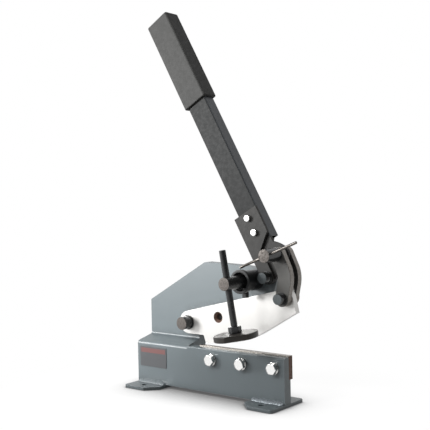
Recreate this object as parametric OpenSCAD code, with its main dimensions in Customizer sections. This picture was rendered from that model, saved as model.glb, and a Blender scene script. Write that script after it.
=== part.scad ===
// Bench plate shear: offset frame, lower blade, swinging upper blade,
// long hand lever with crank and C-shaped links, and a work hold-down.
// X runs along the blades, Y runs to the rear, Z is up.
// The origin is on the bench, at the centre of the four bench bolts.

/* [Frame] */
// Length of the frame along the blades
frame_w = 354; // [340:1:380]
// Thickness of the frame plate
plate_t = 19; // [17:0.5:21]
// Height of the front wall above the bench
front_h = 88; // [84:1:92]
// Length of the bent part that joins the front wall to the rear wall
throat_x = 130; // [124:1:136]
// Rise of the bent shelf from front to rear
shelf_rise = 10; // [6:1:14]
// Outside radius of the two bends
bend_r = 7; // [4:1:10]
// Inside radius of the two bends
bend_in_r = 4; // [2:0.5:6]
// Height of the rear wall's left edge
wall_left_h = 165; // [156:1:172]
// Height of the rear wall's crest
wall_top_h = 247.5; // [242:0.5:252]
// Distance of the crest's left end from the frame's left end
crest_x = 147.5; // [140:0.5:156]
// Distance of the crest's right end from the frame's left end
crest_end_x = 236; // [228:1:240]
// Wall left around the lever pivot at the frame's right end
pivot_wall = 13; // [12:0.5:14]
// Depth of the rear wall's right end below the lever pivot
wall_end_drop = 39; // [37:0.5:41]
// Height of the throat roof above the bench
throat_h = 104; // [100:1:108]
// Distance of the roof's bend from the frame's left end
roof_x = 215; // [208:1:222]
// Rise of the roof from the throat to its bend
roof_rise = 18; // [15:0.5:21]
// Lean of the frame's left end towards the rear, measured at the rear wall
end_lean = 3; // [1:0.5:4]
// Length of the nameplate
name_w = 70; // [60:1:76]
// Height of the nameplate
name_h = 40; // [30:1:44]
// Thickness of the nameplate
name_t = 0.8; // [0.5:0.1:1.5]

/* [Feet] */
// Thickness of each foot plate
foot_t = 6; // [5:0.5:8]
// Width of each foot plate along the blades
foot_w = 74; // [66:1:84]
// Length of each foot plate from front to rear
foot_l = 102; // [94:1:112]
// Cut at the inner corners of each foot plate
foot_cut = 22; // [12:1:26]
// Cut at the outer corners of each foot plate
foot_nip = 4; // [2:0.5:8]
// Diameter of the bench bolt holes
bench_hole_d = 11; // [8:0.5:13]
// Spacing of the bench bolts along the blades
bench_x = 282; // [276:1:290]
// Spacing of the bench bolts from front to rear
bench_y = 60; // [56:1:68]
// Leg of the weld beads
weld_leg = 6; // [4:0.5:8]

/* [Blades] */
// Thickness of both blades
blade_t = 12; // [10:0.5:14]
// Running gap between parts that slide past each other
side_gap = 0.25; // [0.2:0.05:0.4]
// Length of the lower blade
lower_l = 203; // [196:1:210]
// Height of the lower blade
lower_h = 42; // [38:1:46]
// Height of the lower blade's edge above the front wall
lower_proud = 2; // [1:0.5:3]
// Depth of the lower blade's seat in the front wall
seat_depth = 5; // [4:0.5:7]
// Distance of the first blade bolt from the lower blade's left end
bolt_start = 40; // [36:1:44]
// Distance of the last blade bolt from the lower blade's right end
bolt_end = 22; // [20:0.5:26]
// Depth of the blade bolts below the lower blade's edge
bolt_drop = 21.5; // [19:0.5:23]
// Radius of the upper blade's round end
heel_r = 22; // [20:0.5:24]
// Slope of the upper blade's back
back_slope = 13.4; // [12.5:0.1:14.2]
// Length of the upper blade's back
back_l = 269; // [266:0.5:272]
// Height of the upper blade at its right end
nose_h = 45.5; // [43:0.5:48]
// Steep slope of the cutting edge near the nose
edge_slope = 30; // [29:0.5:31]
// Radius that joins the two slopes of the cutting edge
edge_r = 200; // [120:5:240]
// Height of the cutting edge above the lower blade at the throat
edge_gap = 3; // [2:0.5:5]
// Distance of the cutting edge's start from the throat wall
edge_start = 26; // [24:0.5:29]
// Diameter of the round bar hole
bar_hole_d = 12.5; // [10:0.5:14]
// Diameter of the countersink at the round bar hole
bar_sink_d = 21; // [17:0.5:23]
// Distance of the round bar hole from the blade pivot, sideways
bar_x = 74.5; // [70:0.5:78]
// Height of the round bar hole above the blade pivot
bar_z = 15; // [12:0.5:17]

/* [Pivots] */
// Distance of the blade pivot from the frame's left end
blade_pivot_x = 113; // [110:0.5:115]
// Height of the blade pivot above the bench
blade_pivot_z = 129.5; // [128:0.5:132]
// Diameter of the blade pivot bolt
blade_pivot_d = 16; // [14:0.5:17]
// Wall of the blade's pivot bush
bush_wall = 2; // [1.5:0.25:3]
// Distance of the lever pivot from the frame's left end
lever_pivot_x = 303; // [301:0.5:305]
// Height of the lever pivot above the bench
lever_pivot_z = 225.4; // [224:0.2:227]
// Diameter of the lever pivot bolt
lever_pivot_d = 12; // [10:0.5:13]
// Radial clearance of the running fits
run_gap = 0.06; // [0.04:0.01:0.1]
// Radial clearance of the bolt holes
bolt_gap = 0.2; // [0.1:0.05:0.4]

/* [Lever] */
// Lean of the lever from upright
lever_lean = 29; // [26:0.1:31]
// Width of the lever tube
tube_w = 46; // [42:1:48]
// Wall of the lever tube
tube_wall = 2.5; // [2:0.25:4]
// Distance of the tube's middle from the line through the lever pivot
tube_shift = 16.6; // [16:0.2:17.4]
// Distance from the lever pivot to the tube's lower end
tube_start = 64; // [63.5:0.5:66]
// Length of the lever tube
tube_l = 497; // [460:1:520]
// Length of the grip
grip_l = 198; // [170:1:220]
// Wall of the grip
grip_wall = 5.5; // [4:0.5:7]
// Corner radius of the grip
grip_r = 4; // [2:0.5:6]
// Thickness of each lever strap
strap_t = 6; // [5:0.5:7]
// Width of the lever straps at the pivot
strap_w = 26; // [25:0.5:27]
// Width of the front strap at the tube
strap_top_w = 55; // [53:0.5:57]
// Width of the rear strap at the tube
rear_strap_top_w = 45; // [40:0.5:48]
// Gap between the rear wall and the rear strap
strap_gap = 2.25; // [0.5:0.25:3]
// Length of the lever straps above the pivot
strap_l = 126; // [122:1:132]
// Height where the straps start to widen
strap_neck = 51; // [48:1:54]
// Height where the straps reach full width
strap_shoulder = 73; // [70:1:76]
// Height of the lower lever bolt above the pivot
lever_bolt_z = 83; // [81:0.5:86]
// Spacing of the lever bolts
lever_bolt_pitch = 30; // [26:0.5:32]

/* [Links] */
// Distance from the lever pivot to the upper link pivot
crank_r = 51.6; // [50:0.2:53]
// Angle of the upper link pivot at rest
crank_angle = 55.8; // [54:0.2:58]
// Distance from the lever pivot to the lower link pivot
low_r = 51.7; // [50:0.2:53]
// Angle of the lower link pivot at rest
low_angle = -42.6; // [-44:0.2:-41]
// Inner radius of the C-shaped links
link_in = 31; // [30:0.5:32]
// Outer radius of the C-shaped links
link_out = 58; // [57:0.5:60]
// Thickness of each link
link_t = 12; // [10:0.5:13]
// Radius of each link's lower end
link_end_r = 14.5; // [14:0.25:15]
// Outer radius of the crank plate
crank_out = 66; // [65:0.5:67]
// Diameter of the upper link pivot
link_top_d = 12; // [10:0.5:13]
// Diameter of the lower link pivot
link_low_d = 10; // [8:0.5:11]
// Length of the blade's slot for the lower link pivot
slot_l = 25; // [24.8:0.1:26]
// Width of the blade's slot for the lower link pivot
slot_w = 14; // [13.8:0.1:15]
// Lift of the slot's middle above the lower link pivot
slot_lift = 1.1; // [1:0.05:1.2]
// Diameter of the clamp screw's head
screw_head_d = 24; // [20:0.5:25]
// Length of the clamp screw's head in front of the link
screw_head_l = 39; // [34:0.5:42]
// Diameter of the clamp screw's cross bar
bar_d = 5; // [4:0.25:6]
// Length of the clamp screw's cross bar
bar_l = 129; // [120:1:136]
// Tilt of the clamp screw's cross bar
bar_tilt = 21.4; // [15:0.1:28]
// Distance of the cross bar's middle from the screw, to the right
bar_shift = 3.2; // [0:0.2:6]
// Distance of the cross bar from the head's front face
bar_inset = 8; // [6:0.5:12]

/* [Hold-down] */
// Distance of the hold-down shaft from the frame's left end
hold_x = 268; // [266:0.5:270]
// Height of the hold-down shaft above the bench
hold_z = 219; // [218:0.5:221]
// Diameter of the hold-down shaft
shaft_d = 24; // [22:0.5:25]
// Reach of the hold-down shaft in front of the front wall
shaft_reach = 57.5; // [52:0.5:62]
// Diameter of the hub's collar
hub_d = 44; // [42:0.5:46]
// Length of the hub's collar
hub_collar_l = 8; // [6:0.5:10]
// Diameter of the hub's ribbed body
hub_body_d = 38; // [36:0.5:39]
// Diameter of the hub's open mouth
hub_mouth_d = 34; // [30:0.5:35]
// Depth of the hub's open mouth
hub_mouth_l = 16; // [12:0.5:18]
// Reach of the hub in front of the front wall
hub_reach = 11; // [8:0.5:12]
// Number of grooves around the hub
groove_count = 6; // [2:1:7]
// Spacing of the grooves around the hub
groove_pitch = 3.5; // [3:0.1:4]
// Depth of the grooves around the hub
groove_depth = 1.2; // [0.6:0.1:1.8]
// Diameter of the hub's set screw
set_screw_d = 8; // [6:0.5:10]
// Distance of the set screw behind the front wall's face
set_screw_y = 6.5; // [6:0.5:8]
// Length of the set screw below the hub
set_screw_out = 8; // [6:0.5:11]
// Distance of the hold-down rod from the shaft's front end
rod_inset = 11.5; // [10:0.5:13]
// Diameter of the hold-down rod
rod_d = 12; // [10:0.5:12.5]
// Lean of the hold-down rod towards the front
rod_lean = 3.6; // [2:0.2:6]
// Tilt of the hold-down rod along the blades
rod_tilt = 7.3; // [4:0.1:10]
// Length of the rod above the shaft's axis
rod_up = 60; // [50:1:70]
// Length of the rod below the shaft's axis to the foot
rod_down = 88; // [84:1:96]
// Width across the flats of the rod's nut
rod_nut_af = 21; // [18:0.5:22]
// Thickness of the rod's nut
rod_nut_t = 12; // [10:0.5:14]
// Diameter of the rod's headed end
rod_end_d = 17; // [15:0.5:19]
// Thickness of the rod's headed end
rod_end_t = 2; // [1.5:0.25:3]
// Diameter of the hold-down foot
pad_d = 80; // [74:1:84]
// Thickness of the hold-down foot
pad_t = 10.5; // [8:0.5:12]
// Distance of the foot's flat from the rod
pad_flat = 34; // [28:0.5:38]
// Turn of the foot's flat and of the rod's nut towards the front
pad_turn = 51; // [0:1:90]

/* [Fasteners] */
// Diameter of the lower blade's bolts
blade_bolt_d = 12; // [10:0.5:13]
// Width across the flats of the lower blade's bolt heads
blade_bolt_af = 19; // [17:0.5:21]
// Thickness of the lower blade's bolt heads
blade_bolt_head = 8; // [7:0.5:10]
// Thickness of the spring washers
spring_washer_t = 3.2; // [2:0.2:4]
// Thickness of the plain washers
washer_t = 2.5; // [2:0.25:3.5]
// Width that a washer shows around its head or nut
washer_rim = 1.5; // [0.5:0.25:2]
// Chamfer on the round heads
head_edge = 0.8; // [0.4:0.1:1.2]
// Diameter of the blade pivot's head
pivot_head_d = 25; // [22:0.5:27]
// Length of the blade pivot's head
pivot_head_t = 18.5; // [14:0.5:20]
// Width across the flats of the blade pivot's nut
pivot_af = 24; // [22:0.5:26]
// Diameter of the lever pivot's head
lever_head_d = 20; // [18:0.5:21]
// Length of the lever pivot's head
lever_head_t = 14.5; // [10:0.5:16]
// Diameter of the lower link pivot's head
link_head_d = 19; // [17:0.5:21]
// Length of the lower link pivot's head
link_head_t = 11; // [8:0.5:12]
// Width across the flats of the nuts on the links and the lever pivot
link_af = 17; // [16:0.5:19]
// Thickness of the nuts
nut_t = 8; // [7:0.5:10]
// Diameter of the lever bolts
lever_bolt_d = 8; // [6:0.5:9]
// Width across the flats of the lever nuts
lever_bolt_af = 13; // [11:0.5:14]
// Diameter of the lever bolts' round heads
lever_bolt_head_d = 12; // [10:0.5:14]
// Thickness of the lever bolt heads
lever_bolt_head = 5.5; // [4:0.5:7]

/* [Hidden] */
$fn = 64;

paint = "slategray";
dark = "dimgray";
steel = "silver";
bright = "gainsboro";
black = "#2b2b2b";
bronze = "#b08d57";

// Layers from front to rear
shear_y = plate_t - seat_depth + blade_t;
upper_y = shear_y + side_gap;
upper_back_y = upper_y + blade_t;
wall_y = upper_back_y + side_gap;
wall_back_y = wall_y + plate_t;
strap_y = upper_y;
crank_y = strap_y + strap_t;
crank_back_y = strap_y + blade_t;
rear_strap_y = wall_back_y + strap_gap;
tube_d = rear_strap_y - crank_y;
link_y = shear_y - link_t;
rear_link_y = wall_y;
rear_link_back_y = rear_link_y + link_t;

// Front wall and throat
lower_top = front_h + lower_proud;
lower_x = frame_w - lower_l;
bolt_pitch = (lower_l - bolt_start - bolt_end) / 2;
bend_low = front_h - plate_t - 11;
shelf_slope = atan(shelf_rise / wall_y);
shelf_drop = plate_t / cos(shelf_slope);
foot_front = (foot_l - plate_t) / 2;

// Pivots
blade_pivot = [blade_pivot_x, blade_pivot_z];
lever_pivot = [lever_pivot_x, lever_pivot_z];
link_top = lever_pivot + crank_r * [cos(crank_angle), sin(crank_angle)];
link_low = lever_pivot + low_r * [cos(low_angle), sin(low_angle)];
link_mid_r = (link_in + link_out) / 2;
link_half = (link_out - link_in) / 2;

// Upper blade corners
back_dir = [cos(back_slope), sin(back_slope)];
back_normal = [sin(back_slope), -cos(back_slope)];
heel_left = blade_pivot[0] - heel_r;
heel_bottom = blade_pivot[1] - heel_r;
back_foot = blade_pivot - heel_r * back_normal;
heel_top = back_foot[1] - (back_foot[0] - heel_left) * tan(back_slope);
nose_top = [heel_left, heel_top] + back_l * back_dir;
nose_low = nose_top + nose_h * back_normal;
edge_x = throat_x + edge_start;
edge_z = lower_top + edge_gap;
edge_low_slope = 5.6;
edge_run = (nose_low[1] - edge_z - (nose_low[0] - edge_x) * tan(edge_slope))
    / (tan(edge_low_slope) - tan(edge_slope));
edge_mid = [edge_x + edge_run, edge_z + edge_run * tan(edge_low_slope)];
bar_hole = blade_pivot + [bar_x, bar_z];
slot_mid = link_low - slot_lift * back_normal;
slot_half = (slot_l - slot_w) / 2;

// Hold-down
hub_front_y = -hub_reach;
rod_y = rod_inset - shaft_reach;

arc_step = 6;
eps = 0.01;

function unit(v) = v / norm(v);

// Points of the arc that rounds corner p between its neighbours a and b
function corner_arc(a, p, b, r) =
    let (
        u = unit(a - p),
        v = unit(b - p),
        half = acos(u * v) / 2,
        reach = r / tan(half),
        centre = p + unit(u + v) * r / sin(half),
        first = p + u * reach - centre,
        last = p + v * reach - centre,
        start = atan2(first[1], first[0]),
        turn = atan2(first[0] * last[1] - first[1] * last[0], first * last),
        count = max(1, ceil(abs(turn) / arc_step))
    )
    [for (i = [0:count]) centre + r * [cos(start + turn * i / count), sin(start + turn * i / count)]];

// Outline through corners [x, y, radius]
function rounded(corners) =
    let (n = len(corners), pts = [for (c = corners) [c[0], c[1]]])
    [for (i = [0:n - 1]) each corners[i][2] > 0
        ? corner_arc(pts[(i + n - 1) % n], pts[i], pts[(i + 1) % n], corners[i][2])
        : [pts[i]]];

// Moves a shape from the frame's front left corner to the origin
module place() {
    translate([-frame_w / 2, -plate_t / 2, 0]) children();
}

// Outline in X and Z, made solid from y0 to y1
module slab(y0, y1) {
    translate([0, y1, 0]) rotate([90, 0, 0]) linear_extrude(y1 - y0) children();
}

// Outline in Y and Z, made solid from x0 to x1
module beam(x0, x1) {
    translate([x0, 0, 0]) rotate([90, 0, 90]) linear_extrude(x1 - x0) children();
}

// Round bar along Y
module round_y(at, d, y0, y1) {
    translate([at[0], y1, at[1]]) rotate([90, 0, 0]) cylinder(d = d, h = y1 - y0);
}

// Hexagon prism along Y with its front edge chamfered when front is true
module hex_y(at, af, y0, y1, front = true) {
    corner_d = af / cos(30);
    cut = (corner_d - af) / 2;
    translate([at[0], y1, at[1]]) rotate([90, 0, 0]) intersection() {
        rotate(30) cylinder(d = corner_d, h = y1 - y0, $fn = 6);
        if (front)
            union() {
                cylinder(d = corner_d + 1, h = y1 - y0 - cut);
                translate([0, 0, y1 - y0 - cut]) cylinder(d1 = corner_d + 1, d2 = af - 1, h = cut);
            }
        else
            union() {
                translate([0, 0, cut]) cylinder(d = corner_d + 1, h = y1 - y0 - cut);
                cylinder(d1 = af - 1, d2 = corner_d + 1, h = cut);
            }
    }
}

// Pin along Y with a round head in front and its shank to the rear
module pin(at, head_d, head_t, shank_d, head_y, end_y) {
    translate([at[0], head_y, at[1]]) rotate([90, 0, 0]) rotate_extrude() polygon([
        [0, head_y - end_y], [shank_d / 2, head_y - end_y], [shank_d / 2, 0], [head_d / 2, 0],
        [head_d / 2, head_t - head_edge], [head_d / 2 - head_edge, head_t], [0, head_t]
    ]);
}

// Flat ring along Y
module ring_y(at, d, hole, y0, y1) {
    difference() {
        round_y(at, d, y0, y1);
        round_y(at, hole, y0 - 1, y1 + 1);
    }
}

// Flat bar with round ends between two points
module round_bar(p, q, r, y0, y1) {
    side = r * [-unit(q - p)[1], unit(q - p)[0]];
    round_y(p, 2 * r, y0, y1);
    round_y(q, 2 * r, y0, y1);
    slab(y0, y1) polygon([p + side, q + side, q - side, p - side]);
}

// Lever's own axes: origin at its pivot, Z along the lever
module on_lever() {
    translate([lever_pivot[0], 0, lever_pivot[1]]) rotate([0, -lever_lean, 0]) children();
}

// Hold-down rod's own axes: origin on the shaft, Z up along the rod
module on_rod() {
    translate([hold_x, rod_y, hold_z]) rotate([rod_lean, -rod_tilt, 0]) children();
}

module frame_plate() {
    wall = rounded([
        [0, front_h, 0],
        [0, wall_left_h, 4],
        [crest_x, wall_top_h, 14],
        [crest_end_x, wall_top_h - 3.5, 10],
        [lever_pivot[0], lever_pivot[1] + pivot_wall, 0],
        [lever_pivot[0] + pivot_wall, lever_pivot[1] - 4, 0],
        [lever_pivot[0] + 1, lever_pivot[1] - wall_end_drop, 6],
        [roof_x, throat_h + roof_rise, 20],
        [throat_x + 20, throat_h, 8],
        [throat_x, throat_h, 0],
        [throat_x, front_h, 0]
    ]);
    bend = rounded([
        [0, bend_low, 0],
        [0, front_h - 1, bend_r],
        [wall_y, front_h - 1 + shelf_rise, bend_in_r],
        [wall_y, throat_h, 0],
        [wall_back_y, throat_h, 0],
        [wall_back_y, front_h - 1 - shelf_drop + wall_back_y * tan(shelf_slope), bend_r],
        [plate_t, front_h - 1 - shelf_drop + plate_t * tan(shelf_slope), bend_in_r],
        [plate_t, bend_low, 0]
    ]);
    front = rounded([[0, foot_t, 0], [0, front_h, 2], [plate_t, front_h, 0], [plate_t, foot_t, 0]]);
    color(paint) place() difference() {
        union() {
            translate([0, 0, foot_t]) cube([throat_x + 1, plate_t, bend_low + 5 - foot_t]);
            beam(throat_x, frame_w) polygon(front);
            beam(0, throat_x) polygon(bend);
            slab(wall_y, wall_back_y) {
                difference() {
                    polygon(wall);
                    translate([-1, 0]) square([throat_x + 2, throat_h - 6]);
                }
                translate(lever_pivot) circle(pivot_wall);
            }
        }
        translate([0, 0, foot_t]) linear_extrude(wall_top_h) polygon([
            [0, 0], [end_lean, wall_y], [end_lean, wall_back_y + 1], [-1, wall_back_y + 1], [-1, 0]
        ]);
        translate([lower_x, plate_t - seat_depth, lower_top - lower_h])
            cube([lower_l + 1, seat_depth + 1, lower_h]);
        for (i = [0:2])
            round_y([lower_x + bolt_start + i * bolt_pitch, lower_top - bolt_drop],
                blade_bolt_d + 2 * bolt_gap, -1, plate_t);
        round_y(blade_pivot, blade_pivot_d + 2 * bolt_gap, wall_y - 1, wall_back_y + 1);
        round_y(lever_pivot, lever_pivot_d + 2 * bolt_gap, wall_y - 1, wall_back_y + 1);
        round_y(bar_hole, bar_hole_d, wall_y - 1, wall_back_y + 1);
        round_y([hold_x, hold_z], shaft_d + 2 * run_gap, wall_y - 1, wall_back_y + 1);
    }
}

// Foot plate under one end of the frame, drawn for the left end
module foot(side) {
    cuts = [foot_nip, foot_cut];
    y0 = -foot_front;
    y1 = foot_l - foot_front;
    outline = [
        [0, y0 + cuts[0]], [cuts[0], y0], [foot_w - cuts[1], y0], [foot_w, y0 + cuts[1]],
        [foot_w, y1 - cuts[1]], [foot_w - cuts[1], y1], [cuts[0], y1], [0, y1 - cuts[0]]
    ];
    color(paint) place() difference() {
        translate([side * frame_w, 0, 0]) mirror([side, 0, 0]) linear_extrude(foot_t) polygon(outline);
        for (s = [-1, 1])
            translate([frame_w / 2 + (side * 2 - 1) * bench_x / 2, plate_t / 2 + s * bench_y / 2, -1])
                cylinder(d = bench_hole_d, h = foot_t + 2);
    }
}

module left_foot() {
    foot(0);
}

module right_foot() {
    foot(1);
}

// Weld beads in front of and behind the frame plate on one foot
module welds(side) {
    x0 = side == 0 ? 2 : frame_w - foot_w + 2;
    x1 = x0 + foot_w - 4;
    bead = weld_leg * 0.75;
    front = [[0, foot_t], [-weld_leg, foot_t], [-bead, foot_t + bead / 2], [0, foot_t + weld_leg]];
    rear = [for (p = front) [plate_t - p[0], p[1]]];
    color(paint) place() {
        beam(x0, x1) polygon(front);
        beam(x0, x1) polygon(rear);
    }
}

module left_welds() {
    welds(0);
}

module right_welds() {
    welds(1);
}

module nameplate() {
    color(black) place()
        translate([7, -name_t, front_h - 10 - name_h]) cube([name_w, name_t, name_h]);
}

module lower_blade() {
    color(bright) place() difference() {
        translate([lower_x, plate_t - seat_depth, lower_top - lower_h]) cube([lower_l, blade_t, lower_h]);
        for (i = [0:2])
            round_y([lower_x + bolt_start + i * bolt_pitch, lower_top - bolt_drop],
                blade_bolt_d + 2 * run_gap, 0, shear_y + 1);
    }
}

module lower_blade_bolts() {
    color(steel) place() for (i = [0:2]) {
        at = [lower_x + bolt_start + i * bolt_pitch, lower_top - bolt_drop];
        hex_y(at, blade_bolt_af, -spring_washer_t - blade_bolt_head, -spring_washer_t);
        round_y(at, blade_bolt_d, -spring_washer_t - eps, shear_y - 1.5);
    }
}

module lower_blade_washers() {
    color(steel) place() for (i = [0:2]) {
        at = [lower_x + bolt_start + i * bolt_pitch, lower_top - bolt_drop];
        difference() {
            ring_y(at, blade_bolt_af + 2 * washer_rim, blade_bolt_d + 2 * bolt_gap, -spring_washer_t, 0);
            translate([at[0], -spring_washer_t / 2, at[1] + blade_bolt_af / 2])
                rotate([0, 20, 0]) cube([1.2, spring_washer_t + 2, blade_bolt_af], center = true);
        }
    }
}

module upper_blade() {
    outline = rounded([
        [heel_left, heel_bottom, heel_r],
        [heel_left, heel_top, heel_r],
        [nose_top[0], nose_top[1], 1.5],
        [nose_low[0], nose_low[1], 0],
        [edge_mid[0], edge_mid[1], edge_r],
        [edge_x, edge_z, 0],
        [edge_x - 5, heel_bottom, 3]
    ]);
    bush_d = blade_pivot_d + 2 * run_gap + 2 * bush_wall;
    sink = (bar_sink_d - bar_hole_d) / 2;
    color(bright) place() difference() {
        slab(upper_y, upper_back_y) polygon(outline);
        round_y(blade_pivot, bush_d, upper_y - 1, upper_back_y + 1);
        round_y(bar_hole, bar_hole_d, upper_y - 1, upper_back_y + 1);
        translate([bar_hole[0], upper_y, bar_hole[1]]) rotate([-90, 0, 0])
            cylinder(d1 = bar_sink_d, d2 = bar_hole_d, h = sink);
        round_bar(slot_mid - slot_half * back_dir, slot_mid + slot_half * back_dir, slot_w / 2,
            upper_y - 1, upper_back_y + 1);
    }
}

module blade_bush() {
    bore = blade_pivot_d + 2 * run_gap;
    color(bronze) place()
        ring_y(blade_pivot, bore + 2 * bush_wall, bore, upper_y, upper_back_y);
}

module blade_pivot_bolt() {
    head_y = upper_y - side_gap - washer_t;
    color(black) place() pin(blade_pivot, pivot_head_d, pivot_head_t, blade_pivot_d, head_y,
        wall_back_y + washer_t + nut_t + 5);
}

module blade_pivot_washers() {
    hole = blade_pivot_d + 2 * bolt_gap;
    color(black) place() {
        ring_y(blade_pivot, pivot_head_d + 2 * washer_rim, hole, upper_y - side_gap - washer_t,
            upper_y - side_gap);
        ring_y(blade_pivot, pivot_head_d + 2 * washer_rim, hole, wall_back_y, wall_back_y + washer_t);
    }
}

module blade_pivot_nut() {
    y0 = wall_back_y + washer_t;
    color(black) place() difference() {
        hex_y(blade_pivot, pivot_af, y0, y0 + nut_t + 4, false);
        round_y(blade_pivot, blade_pivot_d + 2 * run_gap, y0 - 1, y0 + nut_t + 5);
    }
}

module lever_pivot_bolt() {
    head_y = strap_y - side_gap - washer_t;
    color(black) place() pin(lever_pivot, lever_head_d, lever_head_t, lever_pivot_d, head_y,
        rear_strap_y + strap_t + side_gap + washer_t + nut_t + 4);
}

module lever_pivot_washers() {
    hole = lever_pivot_d + 2 * bolt_gap;
    rear = rear_strap_y + strap_t + side_gap;
    color(black) place() {
        ring_y(lever_pivot, lever_head_d + 2 * washer_rim, hole, strap_y - side_gap - washer_t,
            strap_y - side_gap);
        ring_y(lever_pivot, lever_head_d + 2 * washer_rim, hole, rear, rear + washer_t);
    }
}

module lever_pivot_nut() {
    y0 = rear_strap_y + strap_t + side_gap + washer_t;
    color(black) place() difference() {
        hex_y(lever_pivot, link_af, y0, y0 + nut_t, false);
        round_y(lever_pivot, lever_pivot_d + 2 * run_gap, y0 - 1, y0 + nut_t + 1);
    }
}

// Holes for the two lever bolts, in the lever's axes
module lever_bolt_holes(y0, y1) {
    for (i = [0:1])
        round_y([tube_shift, lever_bolt_z + i * lever_bolt_pitch], lever_bolt_d + 2 * bolt_gap, y0, y1);
}

module lever_tube() {
    color(dark) place() on_lever() difference() {
        translate([tube_shift - tube_w / 2, crank_y, tube_start]) cube([tube_w, tube_d, tube_l]);
        translate([tube_shift - tube_w / 2 + tube_wall, crank_y + tube_wall, tube_start - 1])
            cube([tube_w - 2 * tube_wall, tube_d - 2 * tube_wall, tube_l + 2]);
        lever_bolt_holes(crank_y - 1, rear_strap_y + 1);
    }
}

module lever_grip() {
    w = tube_w + 2 * grip_wall;
    d = tube_d + 2 * grip_wall;
    top = tube_start + tube_l + grip_wall;
    middle = [tube_shift, crank_y + tube_d / 2];
    section = rounded([for (c = [[-1, -1], [1, -1], [1, 1], [-1, 1]])
        [middle[0] + c[0] * w / 2, middle[1] + c[1] * d / 2, grip_r]]);
    color(black) place() on_lever() difference() {
        translate([0, 0, top - grip_l]) linear_extrude(grip_l) polygon(section);
        translate([tube_shift - tube_w / 2, crank_y, top - grip_l - 1])
            cube([tube_w, tube_d, grip_l - grip_wall + 1]);
    }
}

// Strap that joins the tube to the lever pivot
module strap(y0, top_w) {
    half = strap_w / 2;
    outline = [
        [-half, 0], [-half, strap_l], [top_w - half, strap_l],
        [top_w - half, strap_shoulder], [half, strap_neck], [half, 0]
    ];
    color(dark) place() on_lever() difference() {
        union() {
            slab(y0, y0 + strap_t) polygon(outline);
            round_y([0, 0], strap_w, y0, y0 + strap_t);
        }
        round_y([0, 0], lever_pivot_d + 2 * run_gap, y0 - 1, y0 + strap_t + 1);
        lever_bolt_holes(y0 - 1, y0 + strap_t + 1);
    }
}

module front_strap() {
    strap(strap_y, strap_top_w);
}

module rear_strap() {
    strap(rear_strap_y, rear_strap_top_w);
}

module crank_plate() {
    half = strap_w / 2;
    end_r = crank_out - crank_r;
    pin_angle = crank_angle - lever_lean;
    joint = crank_r * [cos(pin_angle), sin(pin_angle)];
    side = [sin(pin_angle), -cos(pin_angle)];
    edge_right = tube_shift + tube_w / 2;
    color(dark) place() on_lever() difference() {
        union() {
            slab(crank_y, crank_back_y)
                polygon([[-half, 0], [-half, tube_start], [edge_right, tube_start], [edge_right, 0]]);
            intersection() {
                round_y([0, 0], 2 * crank_out, crank_y, crank_back_y);
                slab(crank_y, crank_back_y)
                    polygon([[0, 0], 2 * joint, [2 * joint[0], tube_start], [0, tube_start]]);
            }
            round_y(joint, 2 * end_r, crank_y, crank_back_y);
            slab(crank_y, crank_back_y) polygon([[0, 0], half * side, joint + end_r * side, joint]);
            round_y([0, 0], strap_w, crank_y, crank_back_y);
            round_y(joint, link_top_d + 12, strap_y, crank_y + eps);
        }
        round_y([0, 0], lever_pivot_d + 2 * run_gap, crank_y - 1, crank_back_y + 1);
        round_y(joint, link_top_d + 2 * run_gap, strap_y - 1, crank_back_y + 1);
    }
}

module lever_bolts() {
    color(steel) place() on_lever() for (i = [0:1]) {
        at = [tube_shift, lever_bolt_z + i * lever_bolt_pitch];
        round_y(at, lever_bolt_head_d, strap_y - lever_bolt_head, strap_y);
        round_y(at, lever_bolt_d, strap_y - eps, rear_strap_y + strap_t + nut_t);
    }
}

module lever_nuts() {
    y0 = rear_strap_y + strap_t;
    color(steel) place() on_lever() for (i = [0:1]) {
        at = [tube_shift, lever_bolt_z + i * lever_bolt_pitch];
        difference() {
            hex_y(at, lever_bolt_af, y0, y0 + nut_t - 2, false);
            round_y(at, lever_bolt_d + 2 * run_gap, y0 - 1, y0 + nut_t);
        }
    }
}

// C-shaped link between the crank and the upper blade, its arc run on straight to both round ends
module link(y0) {
    top_turn = crank_angle - acos(link_mid_r / crank_r);
    low_turn = low_angle + acos(link_mid_r / low_r);
    top_end = [cos(top_turn), sin(top_turn)];
    low_end = [cos(low_turn), sin(low_turn)];
    far = 2 * link_out;
    y1 = y0 + link_t;
    color(dark) place() difference() {
        union() {
            intersection() {
                ring_y(lever_pivot, 2 * link_out, 2 * link_in, y0, y1);
                slab(y0, y1) polygon([for (v = [[0, 0], far * low_end, far * top_end]) lever_pivot + v]);
            }
            round_bar(lever_pivot + link_mid_r * top_end, link_top, link_half, y0, y1);
            round_bar(lever_pivot + link_mid_r * low_end, link_low, link_half, y0, y1);
            round_y(link_low, 2 * link_end_r, y0, y1);
        }
        round_y(link_top, link_top_d + 2 * run_gap, y0 - 1, y0 + link_t + 1);
        round_y(link_low, link_low_d + 2 * bolt_gap, y0 - 1, y0 + link_t + 1);
    }
}

module front_link() {
    link(link_y);
}

module rear_link() {
    link(rear_link_y);
}

module link_bolt() {
    head_y = link_y - washer_t;
    color(black) place() pin(link_low, link_head_d, link_head_t, link_low_d, head_y,
        rear_link_back_y + washer_t + nut_t);
}

module link_washers() {
    hole = link_low_d + 2 * bolt_gap;
    color(black) place() {
        ring_y(link_low, link_head_d + 2 * washer_rim, hole, link_y - washer_t, link_y);
        ring_y(link_low, link_head_d + 2 * washer_rim, hole, rear_link_back_y,
            rear_link_back_y + washer_t);
    }
}

module link_nut() {
    y0 = rear_link_back_y + washer_t;
    color(black) place() difference() {
        hex_y(link_low, link_af, y0, y0 + nut_t - 1, false);
        round_y(link_low, link_low_d + 2 * run_gap, y0 - 1, y0 + nut_t);
    }
}

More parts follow.
